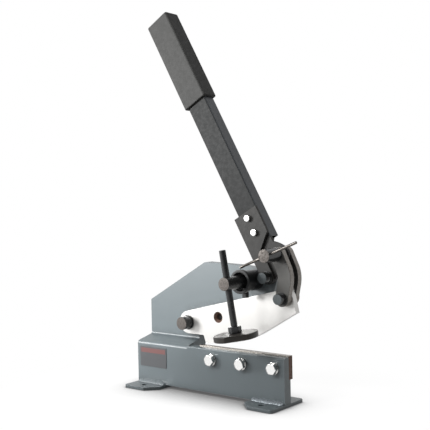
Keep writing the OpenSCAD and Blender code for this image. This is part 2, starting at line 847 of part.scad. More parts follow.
// Cross bar's own axes: origin on the clamp screw, X along the bar
module on_bar() {
    translate([link_top[0], link_y - side_gap - screw_head_l + bar_inset, link_top[1]])
        rotate([0, -bar_tilt, 0]) children();
}

module clamp_screw() {
    head_y = link_y - side_gap;
    color(black) place() difference() {
        union() {
            round_y(link_top, screw_head_d, head_y - screw_head_l, head_y);
            round_y(link_top, link_top_d, head_y - eps, rear_link_back_y + nut_t);
        }
        on_bar() rotate([0, 90, 0])
            cylinder(d = bar_d + 2 * run_gap, h = 2 * screw_head_d, center = true);
    }
}

module clamp_screw_nut() {
    y0 = rear_link_back_y;
    color(black) place() difference() {
        hex_y(link_top, link_af, y0, y0 + nut_t - 1, false);
        round_y(link_top, link_top_d + 2 * run_gap, y0 - 1, y0 + nut_t);
    }
}

module clamp_bar() {
    color(steel) place() on_bar() translate([bar_shift, 0, 0]) rotate([0, 90, 0])
        cylinder(d = bar_d, h = bar_l, center = true);
}

module hold_down_hub() {
    at = [hold_x, hold_z];
    collar_y = hub_front_y + hub_collar_l;
    color(black) place() difference() {
        union() {
            round_y(at, hub_d, hub_front_y, collar_y);
            round_y(at, hub_body_d, collar_y - eps, wall_y);
        }
        round_y(at, shaft_d + 2 * run_gap, hub_front_y - 1, wall_y + 1);
        round_y(at, hub_mouth_d, hub_front_y - 1, hub_front_y + hub_mouth_l);
        for (i = [0:groove_count - 1]) {
            y0 = wall_y - 3 - i * groove_pitch;
            ring_y(at, hub_d + 4, hub_body_d - 2 * groove_depth, y0 - 1.5, y0);
        }
        translate([hold_x, set_screw_y, hold_z - hub_d])
            cylinder(d = set_screw_d + 2 * run_gap, h = hub_d);
    }
}

module hold_down_shaft() {
    at = [hold_x, hold_z];
    color(black) place() difference() {
        round_y(at, shaft_d, -shaft_reach, wall_back_y + 6);
        ring_y(at, shaft_d + 4, shaft_d - 3, wall_back_y + side_gap, wall_back_y + 2.5);
        on_rod() cylinder(d = rod_d + 2 * run_gap, h = 3 * shaft_d, center = true);
    }
}

module shaft_ring() {
    at = [hold_x, hold_z];
    color(steel) place()
        ring_y(at, shaft_d + 7, shaft_d - 2.9, wall_back_y + side_gap, wall_back_y + 2.5);
}

module hub_set_screw() {
    head_top = hold_z - hub_body_d / 2 - 0.3;
    head_bottom = hold_z - hub_d / 2 - set_screw_out;
    color(black) place() {
        translate([hold_x, set_screw_y, head_top - eps])
            cylinder(d = set_screw_d, h = hold_z - shaft_d / 2 - 0.3 - head_top);
        translate([hold_x, set_screw_y, head_bottom])
            cylinder(d = set_screw_d * 1.6, h = head_top - head_bottom, $fn = 4);
    }
}

module hold_down_rod() {
    end_z = -rod_down - pad_t + rod_end_t / 2;
    color(dark) place() on_rod() {
        translate([0, 0, end_z]) cylinder(d = rod_d, h = rod_up - end_z);
        translate([0, 0, end_z]) cylinder(d = rod_end_d, h = rod_end_t);
    }
}

module rod_nut() {
    color(dark) place() on_rod() translate([0, 0, -rod_down + side_gap]) rotate([0, 0, -pad_turn])
        difference() {
            intersection() {
                rotate([0, 0, 30]) cylinder(d = rod_nut_af / cos(30), h = rod_nut_t, $fn = 6);
                cylinder(d1 = 4 * rod_nut_af, d2 = rod_nut_af - 1, h = rod_nut_t + rod_nut_t / 2);
            }
            translate([0, 0, -1]) cylinder(d = rod_d + 2 * run_gap, h = rod_nut_t + 2);
        }
}

module hold_down_foot() {
    color(dark) place() on_rod() translate([0, 0, -rod_down - pad_t]) rotate([0, 0, -pad_turn])
        difference() {
            cylinder(d = pad_d, h = pad_t);
            translate([pad_flat, -pad_d / 2, -1]) cube([pad_d / 2, pad_d, pad_t + 2]);
            translate([0, 0, -1]) cylinder(d = rod_d + 2 * run_gap, h = pad_t + 2);
            translate([0, 0, -1]) cylinder(d = rod_end_d + 1, h = rod_end_t * 1.5 + 1 + side_gap);
        }
}

frame_plate();
left_foot();
right_foot();
left_welds();
right_welds();
nameplate();
lower_blade();
lower_blade_bolts();
lower_blade_washers();
upper_blade();
blade_bush();
blade_pivot_bolt();
blade_pivot_washers();
blade_pivot_nut();
lever_pivot_bolt();
lever_pivot_washers();
lever_pivot_nut();
lever_tube();
lever_grip();
front_strap();
rear_strap();
crank_plate();
lever_bolts();
lever_nuts();
front_link();
rear_link();
link_bolt();
link_washers();
link_nut();
clamp_screw();
clamp_screw_nut();
clamp_bar();
hold_down_hub();
hold_down_shaft();
shaft_ring();
hub_set_screw();
hold_down_rod();
rod_nut();
hold_down_foot();
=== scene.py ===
import math
import random

import bmesh
import bpy
from mathutils import Matrix, Vector


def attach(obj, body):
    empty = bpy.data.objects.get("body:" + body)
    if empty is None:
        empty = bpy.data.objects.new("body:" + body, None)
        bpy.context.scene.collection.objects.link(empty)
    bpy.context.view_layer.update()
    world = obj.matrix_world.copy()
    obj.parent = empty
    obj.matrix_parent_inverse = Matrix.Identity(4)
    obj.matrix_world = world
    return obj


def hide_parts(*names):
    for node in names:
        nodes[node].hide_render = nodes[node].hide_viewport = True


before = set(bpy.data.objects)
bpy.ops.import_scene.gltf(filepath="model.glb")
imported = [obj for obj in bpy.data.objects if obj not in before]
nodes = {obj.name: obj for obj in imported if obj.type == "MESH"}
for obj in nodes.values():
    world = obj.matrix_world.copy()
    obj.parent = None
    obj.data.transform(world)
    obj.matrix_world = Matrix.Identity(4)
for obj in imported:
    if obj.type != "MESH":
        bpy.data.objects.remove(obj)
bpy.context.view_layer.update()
scene = bpy.context.scene

# Bench millimetres: X from the frame's left end, Y from the front wall's face, Z up.
originX = 177.0
originY = 9.5


def mm(x, y, z):
    return Vector(((x - originX) / 1000, (y - originY) / 1000, z / 1000))


# Matrix from local millimetres to the frame's metres.
def axes(origin, u, v, w):
    columns = [Vector(c) / 1000 for c in (u, v, w)]
    return Matrix([[*(c[i] for c in columns), origin[i]] for i in range(3)] + [[0, 0, 0, 1]])


pivot = {"blade": (113, 129.5), "lever": (303, 225.4), "hold": (268, 219), "barHole": (187.5, 144.5)}
linkEnds = {"linkTop": (51.6, 55.8), "linkLow": (51.7, -42.6)}  # reach and turn from the lever pivot
for pivotName, (reach, turn) in linkEnds.items():
    x, z = pivot["lever"]
    turn = math.radians(turn)
    pivot[pivotName] = (x + reach * math.cos(turn), z + reach * math.sin(turn))


# A named pivot, or an (x, z) place, in the plane y.
def placed(name, y=0.0):
    x, z = pivot[name] if isinstance(name, str) else name
    return mm(x, y, z)


# u to the right and v up, both turned by angle, and w to the rear.
def tilted(origin, angle):
    c, s = math.cos(angle), math.sin(angle)
    return axes(origin, (c, 0, s), (-s, 0, c), (0, 1, 0))


# u to the right, v to the rear and w up, turned by angle.
def standing(origin, angle):
    c, s = math.cos(angle), math.sin(angle)
    return axes(origin, (c, 0, s), (0, 1, 0), (-s, 0, c))


# At a pivot, with w to the rear.
def facing(name):
    return tilted(placed(name), 0)


flatY = facing((0, 0))
flatZ = standing(mm(0, 0, 0), 0)
play = 0.06  # a cut bore's radius over its pin's
boreReach = 30  # half the length that a cross bore is cut with

print("stage: helpers")


def arcPoints(x, y, r, start, end, step=5):
    count = max(2, int(abs(end - start) / step))
    return [
        (x + r * math.cos(math.radians(start + (end - start) * i / count)),
         y + r * math.sin(math.radians(start + (end - start) * i / count)))
        for i in range(count + 1)
    ]


def roundedBox(x0, y0, x1, y1, r, step=10):
    return (
        arcPoints(x1 - r, y0 + r, r, -90, 0, step) + arcPoints(x1 - r, y1 - r, r, 0, 90, step)
        + arcPoints(x0 + r, y1 - r, r, 90, 180, step) + arcPoints(x0 + r, y0 + r, r, 180, 270, step)
    )


# Round hole's outline, run clockwise.
def roundHole(name, r):
    return arcPoints(*pivot[name], r, 355, 0)


def loopArea(loop):
    return sum(a[0] * b[1] - a[1] * b[0] for a, b in zip(loop, loop[1:] + loop[:1])) / 2


# Drops points that sit on a straight run.
def tidyLoop(loop):
    kept = []
    for before, here, after in zip(loop[-1:] + loop[:-1], loop, loop[1:] + loop[:1]):
        a, b = Vector(here) - Vector(before), Vector(after) - Vector(here)
        if a.length > 1e-4 and b.length > 1e-4 and abs(a.angle(b)) > 0.004:
            kept.append(here)
    return kept


# Outlines of a CAD node's flat end on the low (-1) or high (1) side of w, in place's local millimetres.
def loopsOf(node, side, place):
    mesh = nodes[node].data
    points = [place.inverted() @ v.co for v in mesh.vertices]
    reach = max(p.z * side for p in points)
    seen = {}
    for face in mesh.polygons:
        if all(abs(points[i].z * side - reach) < 0.02 for i in face.vertices):
            keys = [tuple(round(c, 3) for c in points[i].xy) for i in face.vertices]
            for a, b in zip(keys, keys[1:] + keys[:1]):
                if (b, a) in seen:
                    del seen[(b, a)]
                else:
                    seen[(a, b)] = True
    follow = {}
    for a, b in seen:
        if a != b:
            follow.setdefault(a, []).append(b)
    loops = []
    while follow:
        start = next(iter(follow))
        loop, here = [start], start
        while follow.get(here):
            after = follow[here].pop()
            if not follow[here]:
                del follow[here]
            if after == start:
                break
            loop.append(after)
            here = after
        loops.append(loop)
    return sorted((tidyLoop(loop) for loop in loops if len(loop) > 2), key=lambda q: -abs(loopArea(q)))


def linked(name, data):
    made = bpy.data.objects.new(name, data)
    scene.collection.objects.link(made)
    return made


def meshOf(name, verts, faces):
    mesh = bpy.data.meshes.new(name)
    mesh.from_pydata([tuple(v) for v in verts], [], faces)
    return mesh


# The mesh that an object's curve or modifiers give.
def evaluated(holder):
    bpy.context.view_layer.update()
    return bpy.data.meshes.new_from_object(holder.evaluated_get(bpy.context.evaluated_depsgraph_get()))


# Solid between w0 and w1 with rounded edges, from outlines in local millimetres. The first is the outside.
def prism(loops, place, w0, w1, edge, steps=2):
    curve = bpy.data.curves.new("outline", "CURVE")
    curve.dimensions = "2D"
    curve.fill_mode = "BOTH"
    curve.extrude = (w1 - w0) / 2 - edge
    curve.bevel_depth = edge
    curve.bevel_resolution = steps
    curve.offset = -edge
    for loop in loops:
        line = curve.splines.new("POLY")
        line.points.add(len(loop) - 1)
        for point, (u, v) in zip(line.points, loop):
            point.co = (u, v, 0, 1)
        line.use_cyclic_u = True
    holder = linked("outline", curve)
    mesh = evaluated(holder)
    bm = bmesh.new()
    bm.from_mesh(mesh)
    bmesh.ops.remove_doubles(bm, verts=bm.verts, dist=0.002)
    bmesh.ops.dissolve_degenerate(bm, edges=bm.edges, dist=0.001)
    bm.verts.index_update()
    shift = (w0 + w1) / 2
    verts = [place @ (v.co + Vector((0, 0, shift))) for v in bm.verts]
    faces = [tuple(v.index for v in f.verts) for f in bm.faces]
    bm.free()
    bpy.data.objects.remove(holder)
    bpy.data.curves.remove(curve)
    bpy.data.meshes.remove(mesh)
    return verts, faces


# The point at radius r, turn t and height w.
def polar(place, r, t, w):
    return place @ Vector((r * math.cos(t), r * math.sin(t), w))


# Quads between rows of width points. Where the rows don't close on themselves, both ends get a face.
def gridFaces(rows, width, closed=False):
    faces = []
    for i in range(rows if closed else rows - 1):
        j = (i + 1) % rows
        for k in range(width):
            m = (k + 1) % width
            faces.append((i * width + k, j * width + k, j * width + m, i * width + m))
    if not closed:
        faces += [tuple(range(width)), tuple((rows - 1) * width + k for k in range(width))]
    return faces


# Turned part from (radius, w) pairs. It closes on the axis where a radius is 0.
def lathe(profile, place, steps=64):
    verts, faces, rings = [], [], []
    for r, w in profile:
        if r < 1e-6:
            rings.append([len(verts)])
            verts.append(place @ Vector((0, 0, w)))
        else:
            rings.append(list(range(len(verts), len(verts) + steps)))
            verts += [polar(place, r, 2 * math.pi * i / steps, w) for i in range(steps)]
    for a, b in zip(rings, rings[1:]):
        for i in range(steps):
            j = (i + 1) % steps
            quad = [a[i % len(a)], a[j % len(a)], b[j % len(b)], b[i % len(b)]]
            quad = [q for k, q in enumerate(quad) if q not in quad[:k]]
            if len(quad) > 2:
                faces.append(tuple(quad))
    return verts, faces


def roundBar(r, w0, w1, place, steps):
    return lathe([(0, w0), (r, w0), (r, w1), (0, w1)], place, steps)


# A ring of rows around w. outline(angle) gives the outside, and rows are (radius or None, inset, w).
def turnedTo(outline, rows, place, turns):
    verts = []
    for t in turns:
        for radius, inset, w in rows:
            verts.append(polar(place, outline(t) - inset if radius is None else radius, t, w))
    return verts, gridFaces(len(turns), len(rows), True)


# Rounded rim of a turned part at w, on the way out, or on the way back to the axis where inward is set.
def rimPoints(r, w, edge, inward=False):
    side = -1 if inward else 1
    points = [(r - edge, w), (r - edge * 0.3, w + side * edge * 0.3), (r, w + side * edge)]
    return points[::side]


# Outline of a rounded ring, run back to its start.
def ringProfile(inner, outer, w0, w1, edge=0.3):
    return [
        (inner + edge, w0), *rimPoints(outer, w0, edge), *rimPoints(outer, w1, edge, True),
        (inner + edge, w1), (inner, w1 - edge), (inner, w0 + edge), (inner + edge, w0),
    ]


# Spring washer: a square wire with a slanted split.
def splitWasher(place, inner, outer, w0, w1, at, edge=0.35):
    section = roundedBox(inner, w0, outer, w1, edge, 45)
    count, gap, slant = 60, 0.09, 0.16
    verts = []
    for i in range(count + 1):
        for r, w in section:
            start = at + gap + (w - w0) / (w1 - w0) * slant
            verts.append(polar(place, r, start + (2 * math.pi - 2 * gap) * i / count, w))
    return verts, gridFaces(count + 1, len(section))


# Hexagon with both rims chamfered. hole bores it through, dish sinks a shallow face into w0.
def hexBody(place, af, w0, w1, hole=0.0, dish=0.0):
    steps, blunt, slope, rimShare = 72, 0.15, 0.6, 0.985
    rim = af / 2 * rimShare
    verts, width = [], 0
    for i in range(steps):
        t = 2 * math.pi * (i + 0.5) / steps
        near = (t + math.pi / 6) % (math.pi / 3) - math.pi / 6
        r = min(af / 2 / math.cos(near), af / 2 / math.cos(math.pi / 6) - blunt)
        cut = max(0.0, (r - rim) * slope)
        row = [(hole, w0 + dish), (rim - 0.6, w0 + dish)] if dish else [(hole, w0)]
        row += [(rim - 0.3, w0), (rim, w0 + 0.03), (r - 0.1, w0 + cut), (r, w0 + cut + blunt),
                (r, w1 - cut - blunt), (r - 0.1, w1 - cut), (rim, w1 - 0.03), (rim - 0.3, w1), (hole, w1)]
        width = len(row)
        verts += [polar(place, r, t, w) for r, w in row]
    faces = gridFaces(steps, width, True)
    return verts, [face for face in faces if hole or face[0] % width < width - 1]


# Helical thread on a bolt's end, closed at w1 with a chamfer.
def threadBody(place, d, pitch, w0, w1, steps=40, chamfer=1.0):
    depth, slices = pitch * 0.5, max(4, int((w1 - w0) / pitch * 6))
    verts = []
    for s in range(slices + 1):
        w = w0 + (w1 - w0) * s / slices
        for i in range(steps):
            phase = (w / pitch - i / steps) % 1.0
            r = d / 2 - max(depth * abs(2 * phase - 1), w - (w1 - chamfer))
            verts.append(polar(place, r, 2 * math.pi * i / steps, w))
    return verts, gridFaces(slices + 1, steps)


# Round-headed pin with its head between front and under and a threaded end up to tail.
def pinParts(place, size):
    r, h, w0, w1 = size["shank"] / 2, size["head"] / 2, size["front"], size["under"]
    bare, under = size["tail"] - size.get("thread", 12), 0.3
    body = [(0, w0), *rimPoints(h, w0, size.get("edge", 0.8)), (h, w1 - under), (h - under, w1), (r, w1),
            (r, bare), (0, bare)]
    return [lathe(body, place), threadBody(place, size["shank"], size["pitch"], bare, size["tail"])]


# One part with others cut out of it. The cut is worked out in millimetres.
def cutBy(part, cutters):
    holders = []
    for verts, faces in [part] + cutters:
        mesh = meshOf("cut", [v * 1000 for v in verts], faces)
        bm = bmesh.new()
        bm.from_mesh(mesh)
        bmesh.ops.remove_doubles(bm, verts=bm.verts, dist=0.0005)
        bmesh.ops.recalc_face_normals(bm, faces=bm.faces)
        bm.to_mesh(mesh)
        bm.free()
        holders.append(linked("cut", mesh))
    for cutter in holders[1:]:
        cut = holders[0].modifiers.new("cut", "BOOLEAN")
        cut.operation = "DIFFERENCE"
        cut.solver = "EXACT"
        cut.object = cutter
    mesh = evaluated(holders[0])
    verts = [v.co / 1000 for v in mesh.vertices]
    faces = [tuple(p.vertices) for p in mesh.polygons]
    bpy.data.meshes.remove(mesh)
    for holder in holders:
        data = holder.data
        bpy.data.objects.remove(holder)
        bpy.data.meshes.remove(data)
    return verts, faces


# A CAD node's mesh with its flat faces joined and its sharp edges rounded by edge millimetres.
def softened(node, edge, sharp=28):
    bm = bmesh.new()
    bm.from_mesh(nodes[node].data)
    bmesh.ops.remove_doubles(bm, verts=bm.verts, dist=0.00001)
    bmesh.ops.dissolve_limit(bm, angle_limit=math.radians(0.5), verts=bm.verts, edges=bm.edges)
    rims = [e for e in bm.edges if len(e.link_faces) == 2 and e.calc_face_angle(0) > math.radians(sharp)]
    bmesh.ops.bevel(bm, geom=rims, offset=edge / 1000, segments=2, profile=0.5, affect="EDGES",
                    clamp_overlap=True)
    bm.verts.index_update()
    verts = [v.co.copy() for v in bm.verts]
    faces = [tuple(v.index for v in f.verts) for f in bm.faces]
    bm.free()
    return verts, faces


# One object that stands for a CAD node. second is (material, test on a face's normal and centre).
def piece(name, parts, finish, body, node, second=None, angle=34):
    verts, faces = [], []
    for partVerts, partFaces in parts:
        base = len(verts)
        faces += [tuple(i + base for i in face) for face in partFaces]
        verts += partVerts
    mesh = meshOf(name, verts, faces)
    bm = bmesh.new()
    bm.from_mesh(mesh)
    bmesh.ops.recalc_face_normals(bm, faces=bm.faces)
    for face in bm.faces:
        face.smooth = True
        if second and second[1](face.normal, face.calc_center_median()):
            face.material_index = 1
    for edge in bm.edges:
        edge.smooth = len(edge.link_faces) == 2 and edge.calc_face_angle(0) < math.radians(angle)
    bm.to_mesh(mesh)
    bm.free()
    mesh.materials.append(finish)
    if second:
        mesh.materials.append(second[0])
    made = linked(name, mesh)
    normals = made.modifiers.new("normals", "WEIGHTED_NORMAL")
    normals.keep_sharp = True
    normals.weight = 80
    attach(made, body)
    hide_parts(node)
    return made


def onFront(normal, centre):
    return normal.y < -0.9


def onRim(normal, centre):
    return abs(normal.y) < 0.5


def onEnds(normal, centre):
    return abs(normal.x) > 0.9


def onRight(normal, centre):
    return normal.x > 0.6


print("stage: materials")


# inputs are the values that the sockets start with, outputs the kinds of socket.
def makeGroup(name, inputs, outputs):
    tree = bpy.data.node_groups.new(name, "ShaderNodeTree")
    for label, value in inputs.items():
        kind = "Float" if isinstance(value, float) else "Color" if len(value) == 4 else "Vector"
        socket = tree.interface.new_socket(name=label, in_out="INPUT", socket_type="NodeSocket" + kind)
        socket.default_value = value
    for label, kind in outputs.items():
        tree.interface.new_socket(name=label, in_out="OUTPUT", socket_type="NodeSocket" + kind)
    return tree, tree.nodes.new("NodeGroupInput").outputs, tree.nodes.new("NodeGroupOutput").inputs


def setSocket(tree, socket, value):
    if hasattr(value, "is_output"):
        tree.links.new(value, socket)
    else:
        socket.default_value = value


def add(tree, kind, settings=None, **sockets):
    node = tree.nodes.new("ShaderNode" + kind)
    for key, value in (settings or {}).items():
        setattr(node, key, value)
    for key, value in sockets.items():
        setSocket(tree, node.inputs[key], value)
    return node


def mathNode(tree, operation, a, b, clamp=False):
    node = add(tree, "Math")
    node.operation = operation
    node.use_clamp = clamp
    for socket, value in zip(node.inputs, (a, b)):
        setSocket(tree, socket, value)
    return node.outputs[0]


def times(tree, a, b, clamp=False):
    return mathNode(tree, "MULTIPLY", a, b, clamp)


def vectorNode(tree, operation, a, b):
    node = add(tree, "VectorMath")
    node.operation = operation
    for socket, value in zip(node.inputs, (a, b)):
        setSocket(tree, socket, value)
    return node


def objectSpot(tree):
    return add(tree, "TexCoord").outputs["Object"]


def mapRange(tree, value, low, high, outLow, outHigh):
    node = add(tree, "MapRange", {"clamp": True}, Value=value)
    for label, number in zip(("From Min", "From Max", "To Min", "To Max"), (low, high, outLow, outHigh)):
        setSocket(tree, node.inputs[label], number)
    return node.outputs[0]


def blendColor(tree, factor, a, b):
    node = add(tree, "Mix")
    node.data_type = "RGBA"
    for socket, value in zip((node.inputs[0], node.inputs[6], node.inputs[7]), (factor, a, b)):
        setSocket(tree, socket, value)
    return node.outputs[2]


def noise(tree, vector, scale, detail=3.0, roughness=0.55):
    values = {"Vector": vector, "Scale": scale, "Detail": detail, "Roughness": roughness}
    return add(tree, "TexNoise", **values).outputs["Fac"]


# Worn rims and painted rim highlights: where the rounded normal leaves the real one, broken up by noise.
def makeEdgeGroup():
    tree, given, made = makeGroup("edgeWearAndHighlight", {"Radius": 0.0009}, {"Mask": "Float"})
    spot = objectSpot(tree)
    soft = add(tree, "Bevel", {"samples": 6}, Radius=given["Radius"]).outputs["Normal"]
    hard = add(tree, "NewGeometry").outputs["Normal"]
    dot = vectorNode(tree, "DOT_PRODUCT", soft, hard)
    curved = mapRange(tree, dot.outputs["Value"], 0.985, 0.86, 0.0, 1.0)
    broken = mapRange(tree, noise(tree, spot, 90.0, 4.0), 0.42, 0.62, 0.0, 1.0)
    tree.links.new(times(tree, curved, broken, True), made["Mask"])
    return tree


# Darkening in corners and around fasteners, found by ambient occlusion: painted shade together with grime.
def makeDirtGroup():
    tree, given, made = makeGroup("cornerGrimeAndShade", {"Distance": 0.008, "Amount": 0.5}, {"Mask": "Float"})
    spot = objectSpot(tree)
    hidden = add(tree, "AmbientOcclusion", {"samples": 6}, Distance=given["Distance"])
    closed = mapRange(tree, hidden.outputs["AO"], 0.35, 0.95, 1.0, 0.0)
    broken = mapRange(tree, noise(tree, spot, 160.0, 4.0), 0.3, 0.6, 0.45, 1.0)
    mask = times(tree, times(tree, closed, broken), given["Amount"], True)
    tree.links.new(mask, made["Mask"])
    return tree


surfaceOutputs = {"Color": "Color", "Roughness": "Float", "Normal": "Vector"}


# Sprayed enamel: slow shade changes, orange peel, fine specks and a little dust on upward faces.
def makePaintGroup():
    tree, given, made = makeGroup(
        "paintSurface",
        {"Color": (0.3, 0.3, 0.3, 1), "Shade": 0.12, "Roughness": 0.35, "Peel": 0.06, "Dust": 0.05},
        surfaceOutputs,
    )
    dark, pale, dust = (0.02, 0.022, 0.024, 1), (0.5, 0.5, 0.5, 1), (0.62, 0.6, 0.57, 1)
    spot = objectSpot(tree)
    slow = noise(tree, spot, 9.0, 2.0)
    fine = noise(tree, spot, 140.0, 3.0)
    shade = times(tree, mapRange(tree, slow, 0.3, 0.7, 0.0, 1.0), given["Shade"])
    darker = blendColor(tree, shade, given["Color"], dark)
    specks = mapRange(tree, noise(tree, spot, 620.0, 2.0), 0.66, 0.74, 0.0, 0.35)
    speckled = blendColor(tree, times(tree, specks, given["Shade"]), darker, pale)
    up = add(tree, "SeparateXYZ", Vector=add(tree, "NewGeometry").outputs["Normal"])
    lift = times(tree, mapRange(tree, up.outputs["Z"], 0.5, 1.0, 0.0, 1.0), fine)
    dusty = blendColor(tree, times(tree, lift, given["Dust"]), speckled, dust)
    tree.links.new(dusty, made["Color"])
    swing = mapRange(tree, fine, 0.35, 0.65, -0.04, 0.05)
    tree.links.new(mathNode(tree, "ADD", given["Roughness"], swing, True), made["Roughness"])
    peel = noise(tree, spot, 900.0, 2.0)
    bump = add(tree, "Bump", Strength=given["Peel"], Distance=0.0004, Height=peel)
    tree.links.new(bump.outputs["Normal"], made["Normal"])
    return tree


# Bare steel with fine lines. Stretch sets the lines' direction, Relief how deep they are.
def makeSteelGroup():
    tree, given, made = makeGroup(
        "steelSurface",
        {"Color": (0.7, 0.7, 0.7, 1), "Stain": (0.2, 0.15, 0.1, 1), "Stretch": (1.0, 40.0, 40.0),
         "Roughness": 0.25, "Lines": 0.1, "Relief": 0.05, "Mottle": 0.1, "Grain": 260.0},
        surfaceOutputs,
    )
    spot = objectSpot(tree)
    scaled = vectorNode(tree, "MULTIPLY", spot, given["Stretch"]).outputs["Vector"]
    lines = noise(tree, scaled, 60.0, 5.0, 0.7)
    spots = noise(tree, spot, given["Grain"], 4.0)
    mottle = times(tree, mapRange(tree, spots, 0.4, 0.7, 0.0, 1.0), given["Mottle"])
    tree.links.new(blendColor(tree, mottle, given["Color"], given["Stain"]), made["Color"])
    swing = times(tree, mathNode(tree, "SUBTRACT", lines, 0.5), given["Lines"])
    rough = mathNode(tree, "ADD", given["Roughness"], mathNode(tree, "ADD", swing, mottle), True)
    tree.links.new(rough, made["Roughness"])
    bump = add(tree, "Bump", Strength=given["Relief"], Distance=0.0002, Height=lines)
    tree.links.new(bump.outputs["Normal"], made["Normal"])
    return tree


edgeWearAndHighlightGroup = makeEdgeGroup()
grimeAndShadeGroup = makeDirtGroup()
paintGroup = makePaintGroup()
steelGroup = makeSteelGroup()


def groupNode(tree, group, **values):
    node = add(tree, "Group")
    node.node_tree = group
    for key, value in values.items():
        node.inputs[key].default_value = value
    return node


# edge is (color, strength, radius) of the worn rims, some with painted highlights, and the next (color,
# amount, distance) of corners darkened by painted shade and grime, or None.
def material(name, group, shader, edge=None, darkCorners=None, **values):
    made = bpy.data.materials.new(name)
    made.use_nodes = True
    tree = made.node_tree
    bsdf = next(n for n in tree.nodes if n.type == "BSDF_PRINCIPLED")
    surface = groupNode(tree, group, **values)
    color = surface.outputs["Color"]
    if darkCorners:
        corner = groupNode(tree, grimeAndShadeGroup, Distance=darkCorners[2], Amount=darkCorners[1])
        color = blendColor(tree, corner.outputs["Mask"], color, darkCorners[0])
    if edge:
        rim = groupNode(tree, edgeWearAndHighlightGroup, Radius=edge[2])
        color = blendColor(tree, times(tree, rim.outputs["Mask"], edge[1]), color, edge[0])
    tree.links.new(color, bsdf.inputs["Base Color"])
    tree.links.new(surface.outputs["Roughness"], bsdf.inputs["Roughness"])
    tree.links.new(surface.outputs["Normal"], bsdf.inputs["Normal"])
    for key, value in shader.items():
        bsdf.inputs[key].default_value = value
    return made


# Corner darkening for the lever parts and grip: painted shade together with grime.
grimeAndShade = ((0.02, 0.018, 0.016, 1), 0.6, 0.006)
# Its corner darkening is painted shade, spread broadly over the shelf and the inner corner of the walls.
framePaint = material(
    "framePaint", paintGroup, {"Specular IOR Level": 0.65},
    ((0.34, 0.37, 0.39, 1), 0.35, 0.0009), ((0.03, 0.035, 0.038, 1), 0.85, 0.018),
    Color=(0.15, 0.182, 0.195, 1), Shade=0.1, Roughness=0.38, Peel=0.012, Dust=0.03,
)
weldPaint = material(
    "weldPaint", paintGroup, {"Coat Weight": 0.5, "Coat Roughness": 0.15},
    Color=(0.17, 0.2, 0.215, 1), Shade=0.2, Roughness=0.3, Peel=0.12, Dust=0.06,
)
weldSilver = material(
    "weldSilver", paintGroup, {"Metallic": 0.4, "Coat Weight": 0.3, "Coat Roughness": 0.2},
    Color=(0.3, 0.34, 0.37, 1), Shade=0.3, Roughness=0.26, Peel=0.2, Dust=0.05,
)
leverPaint = material(
    "leverPaint", paintGroup, {"Specular IOR Level": 0.22},
    ((0.26, 0.27, 0.27, 1), 0.35, 0.0008), grimeAndShade,
    Color=(0.042, 0.041, 0.039, 1), Shade=0.12, Roughness=0.55, Peel=0.06, Dust=0.03,
)
tubePaint = material(
    "tubePaint", paintGroup, {"Specular IOR Level": 0.12},
    ((0.03, 0.03, 0.03, 1), 0.6, 0.0016), grimeAndShade,
    Color=(0.026, 0.027, 0.027, 1), Shade=0.1, Roughness=0.5, Peel=0.05, Dust=0.03,
)
# Lighter, bluer copy of the tube's paint for its right-facing faces: painted light on that side.
tubeSidePaintedLight = material(
    "tubeSidePaintedLight", paintGroup, {"Specular IOR Level": 0.4},
    ((0.03, 0.03, 0.03, 1), 0.6, 0.0016), grimeAndShade,
    Color=(0.06, 0.068, 0.078, 1), Shade=0.15, Roughness=0.4, Peel=0.05, Dust=0.03,
)
linkPaint = material(
    "linkPaint", paintGroup,
    {"Metallic": 0.1, "Specular IOR Level": 0.45, "Coat Weight": 0.15, "Coat Roughness": 0.3},
    ((0.4, 0.38, 0.35, 1), 0.5, 0.0008), grimeAndShade,
    Color=(0.072, 0.07, 0.064, 1), Shade=0.15, Roughness=0.44, Peel=0.06, Dust=0.03,
)
groundSteel = material(
    "groundSteel", steelGroup, {"Metallic": 0.5}, None, ((0.12, 0.07, 0.05, 1), 0.35, 0.004),
    Color=(0.74, 0.73, 0.71, 1), Stain=(0.5, 0.47, 0.43, 1), Stretch=(1.0, 30.0, 30.0), Roughness=0.34,
    Lines=0.08, Relief=0.01, Mottle=0.03,
)
topSteel = material(
    "topSteel", steelGroup, {"Metallic": 1.0},
    Color=(0.32, 0.3, 0.275, 1), Stain=(0.24, 0.18, 0.13, 1), Stretch=(1.0, 24.0, 24.0), Roughness=0.34,
    Lines=0.16, Relief=0.05, Mottle=0.15,
)
oxideSteel = material(
    "oxideSteel", steelGroup, {"Metallic": 0.4},
    Color=(0.13, 0.075, 0.055, 1), Stain=(0.05, 0.028, 0.02, 1), Stretch=(10.0, 10.0, 10.0),
    Roughness=0.5, Lines=0.15, Relief=0.1, Mottle=0.3,
)
cutSteel = material(
    "cutSteel", steelGroup, {"Metallic": 0.9}, None, ((0.09, 0.045, 0.03, 1), 0.6, 0.006),
    Color=(0.21, 0.2, 0.185, 1), Stain=(0.16, 0.1, 0.07, 1), Stretch=(8.0, 1.0, 8.0), Roughness=0.42,
    Lines=0.2, Relief=0.06, Mottle=0.2,
)
zincSteel = material(
    "zincSteel", steelGroup, {"Metallic": 1.0}, None, ((0.1, 0.09, 0.08, 1), 0.6, 0.004),
    Color=(0.86, 0.86, 0.85, 1), Stain=(0.55, 0.52, 0.46, 1), Stretch=(12.0, 12.0, 12.0), Roughness=0.2,
    Lines=0.06, Relief=0.03, Mottle=0.06,
)
blackSteel = material(
    "blackSteel", steelGroup,
    {"Metallic": 0.4, "Specular IOR Level": 0.6}, ((0.3, 0.28, 0.26, 1), 0.5, 0.0006),
    Color=(0.036, 0.037, 0.038, 1), Stain=(0.07, 0.05, 0.038, 1), Stretch=(14.0, 14.0, 14.0),
    Roughness=0.25, Lines=0.03, Relief=0.005, Mottle=0.03,
)
faceSteel = material(
    "faceSteel", steelGroup, {"Metallic": 0.5},
    Color=(0.115, 0.103, 0.094, 1), Stain=(0.05, 0.04, 0.034, 1), Stretch=(20.0, 20.0, 20.0),
    Roughness=0.45, Lines=0.2, Relief=0.1, Mottle=0.5, Grain=420.0,
)
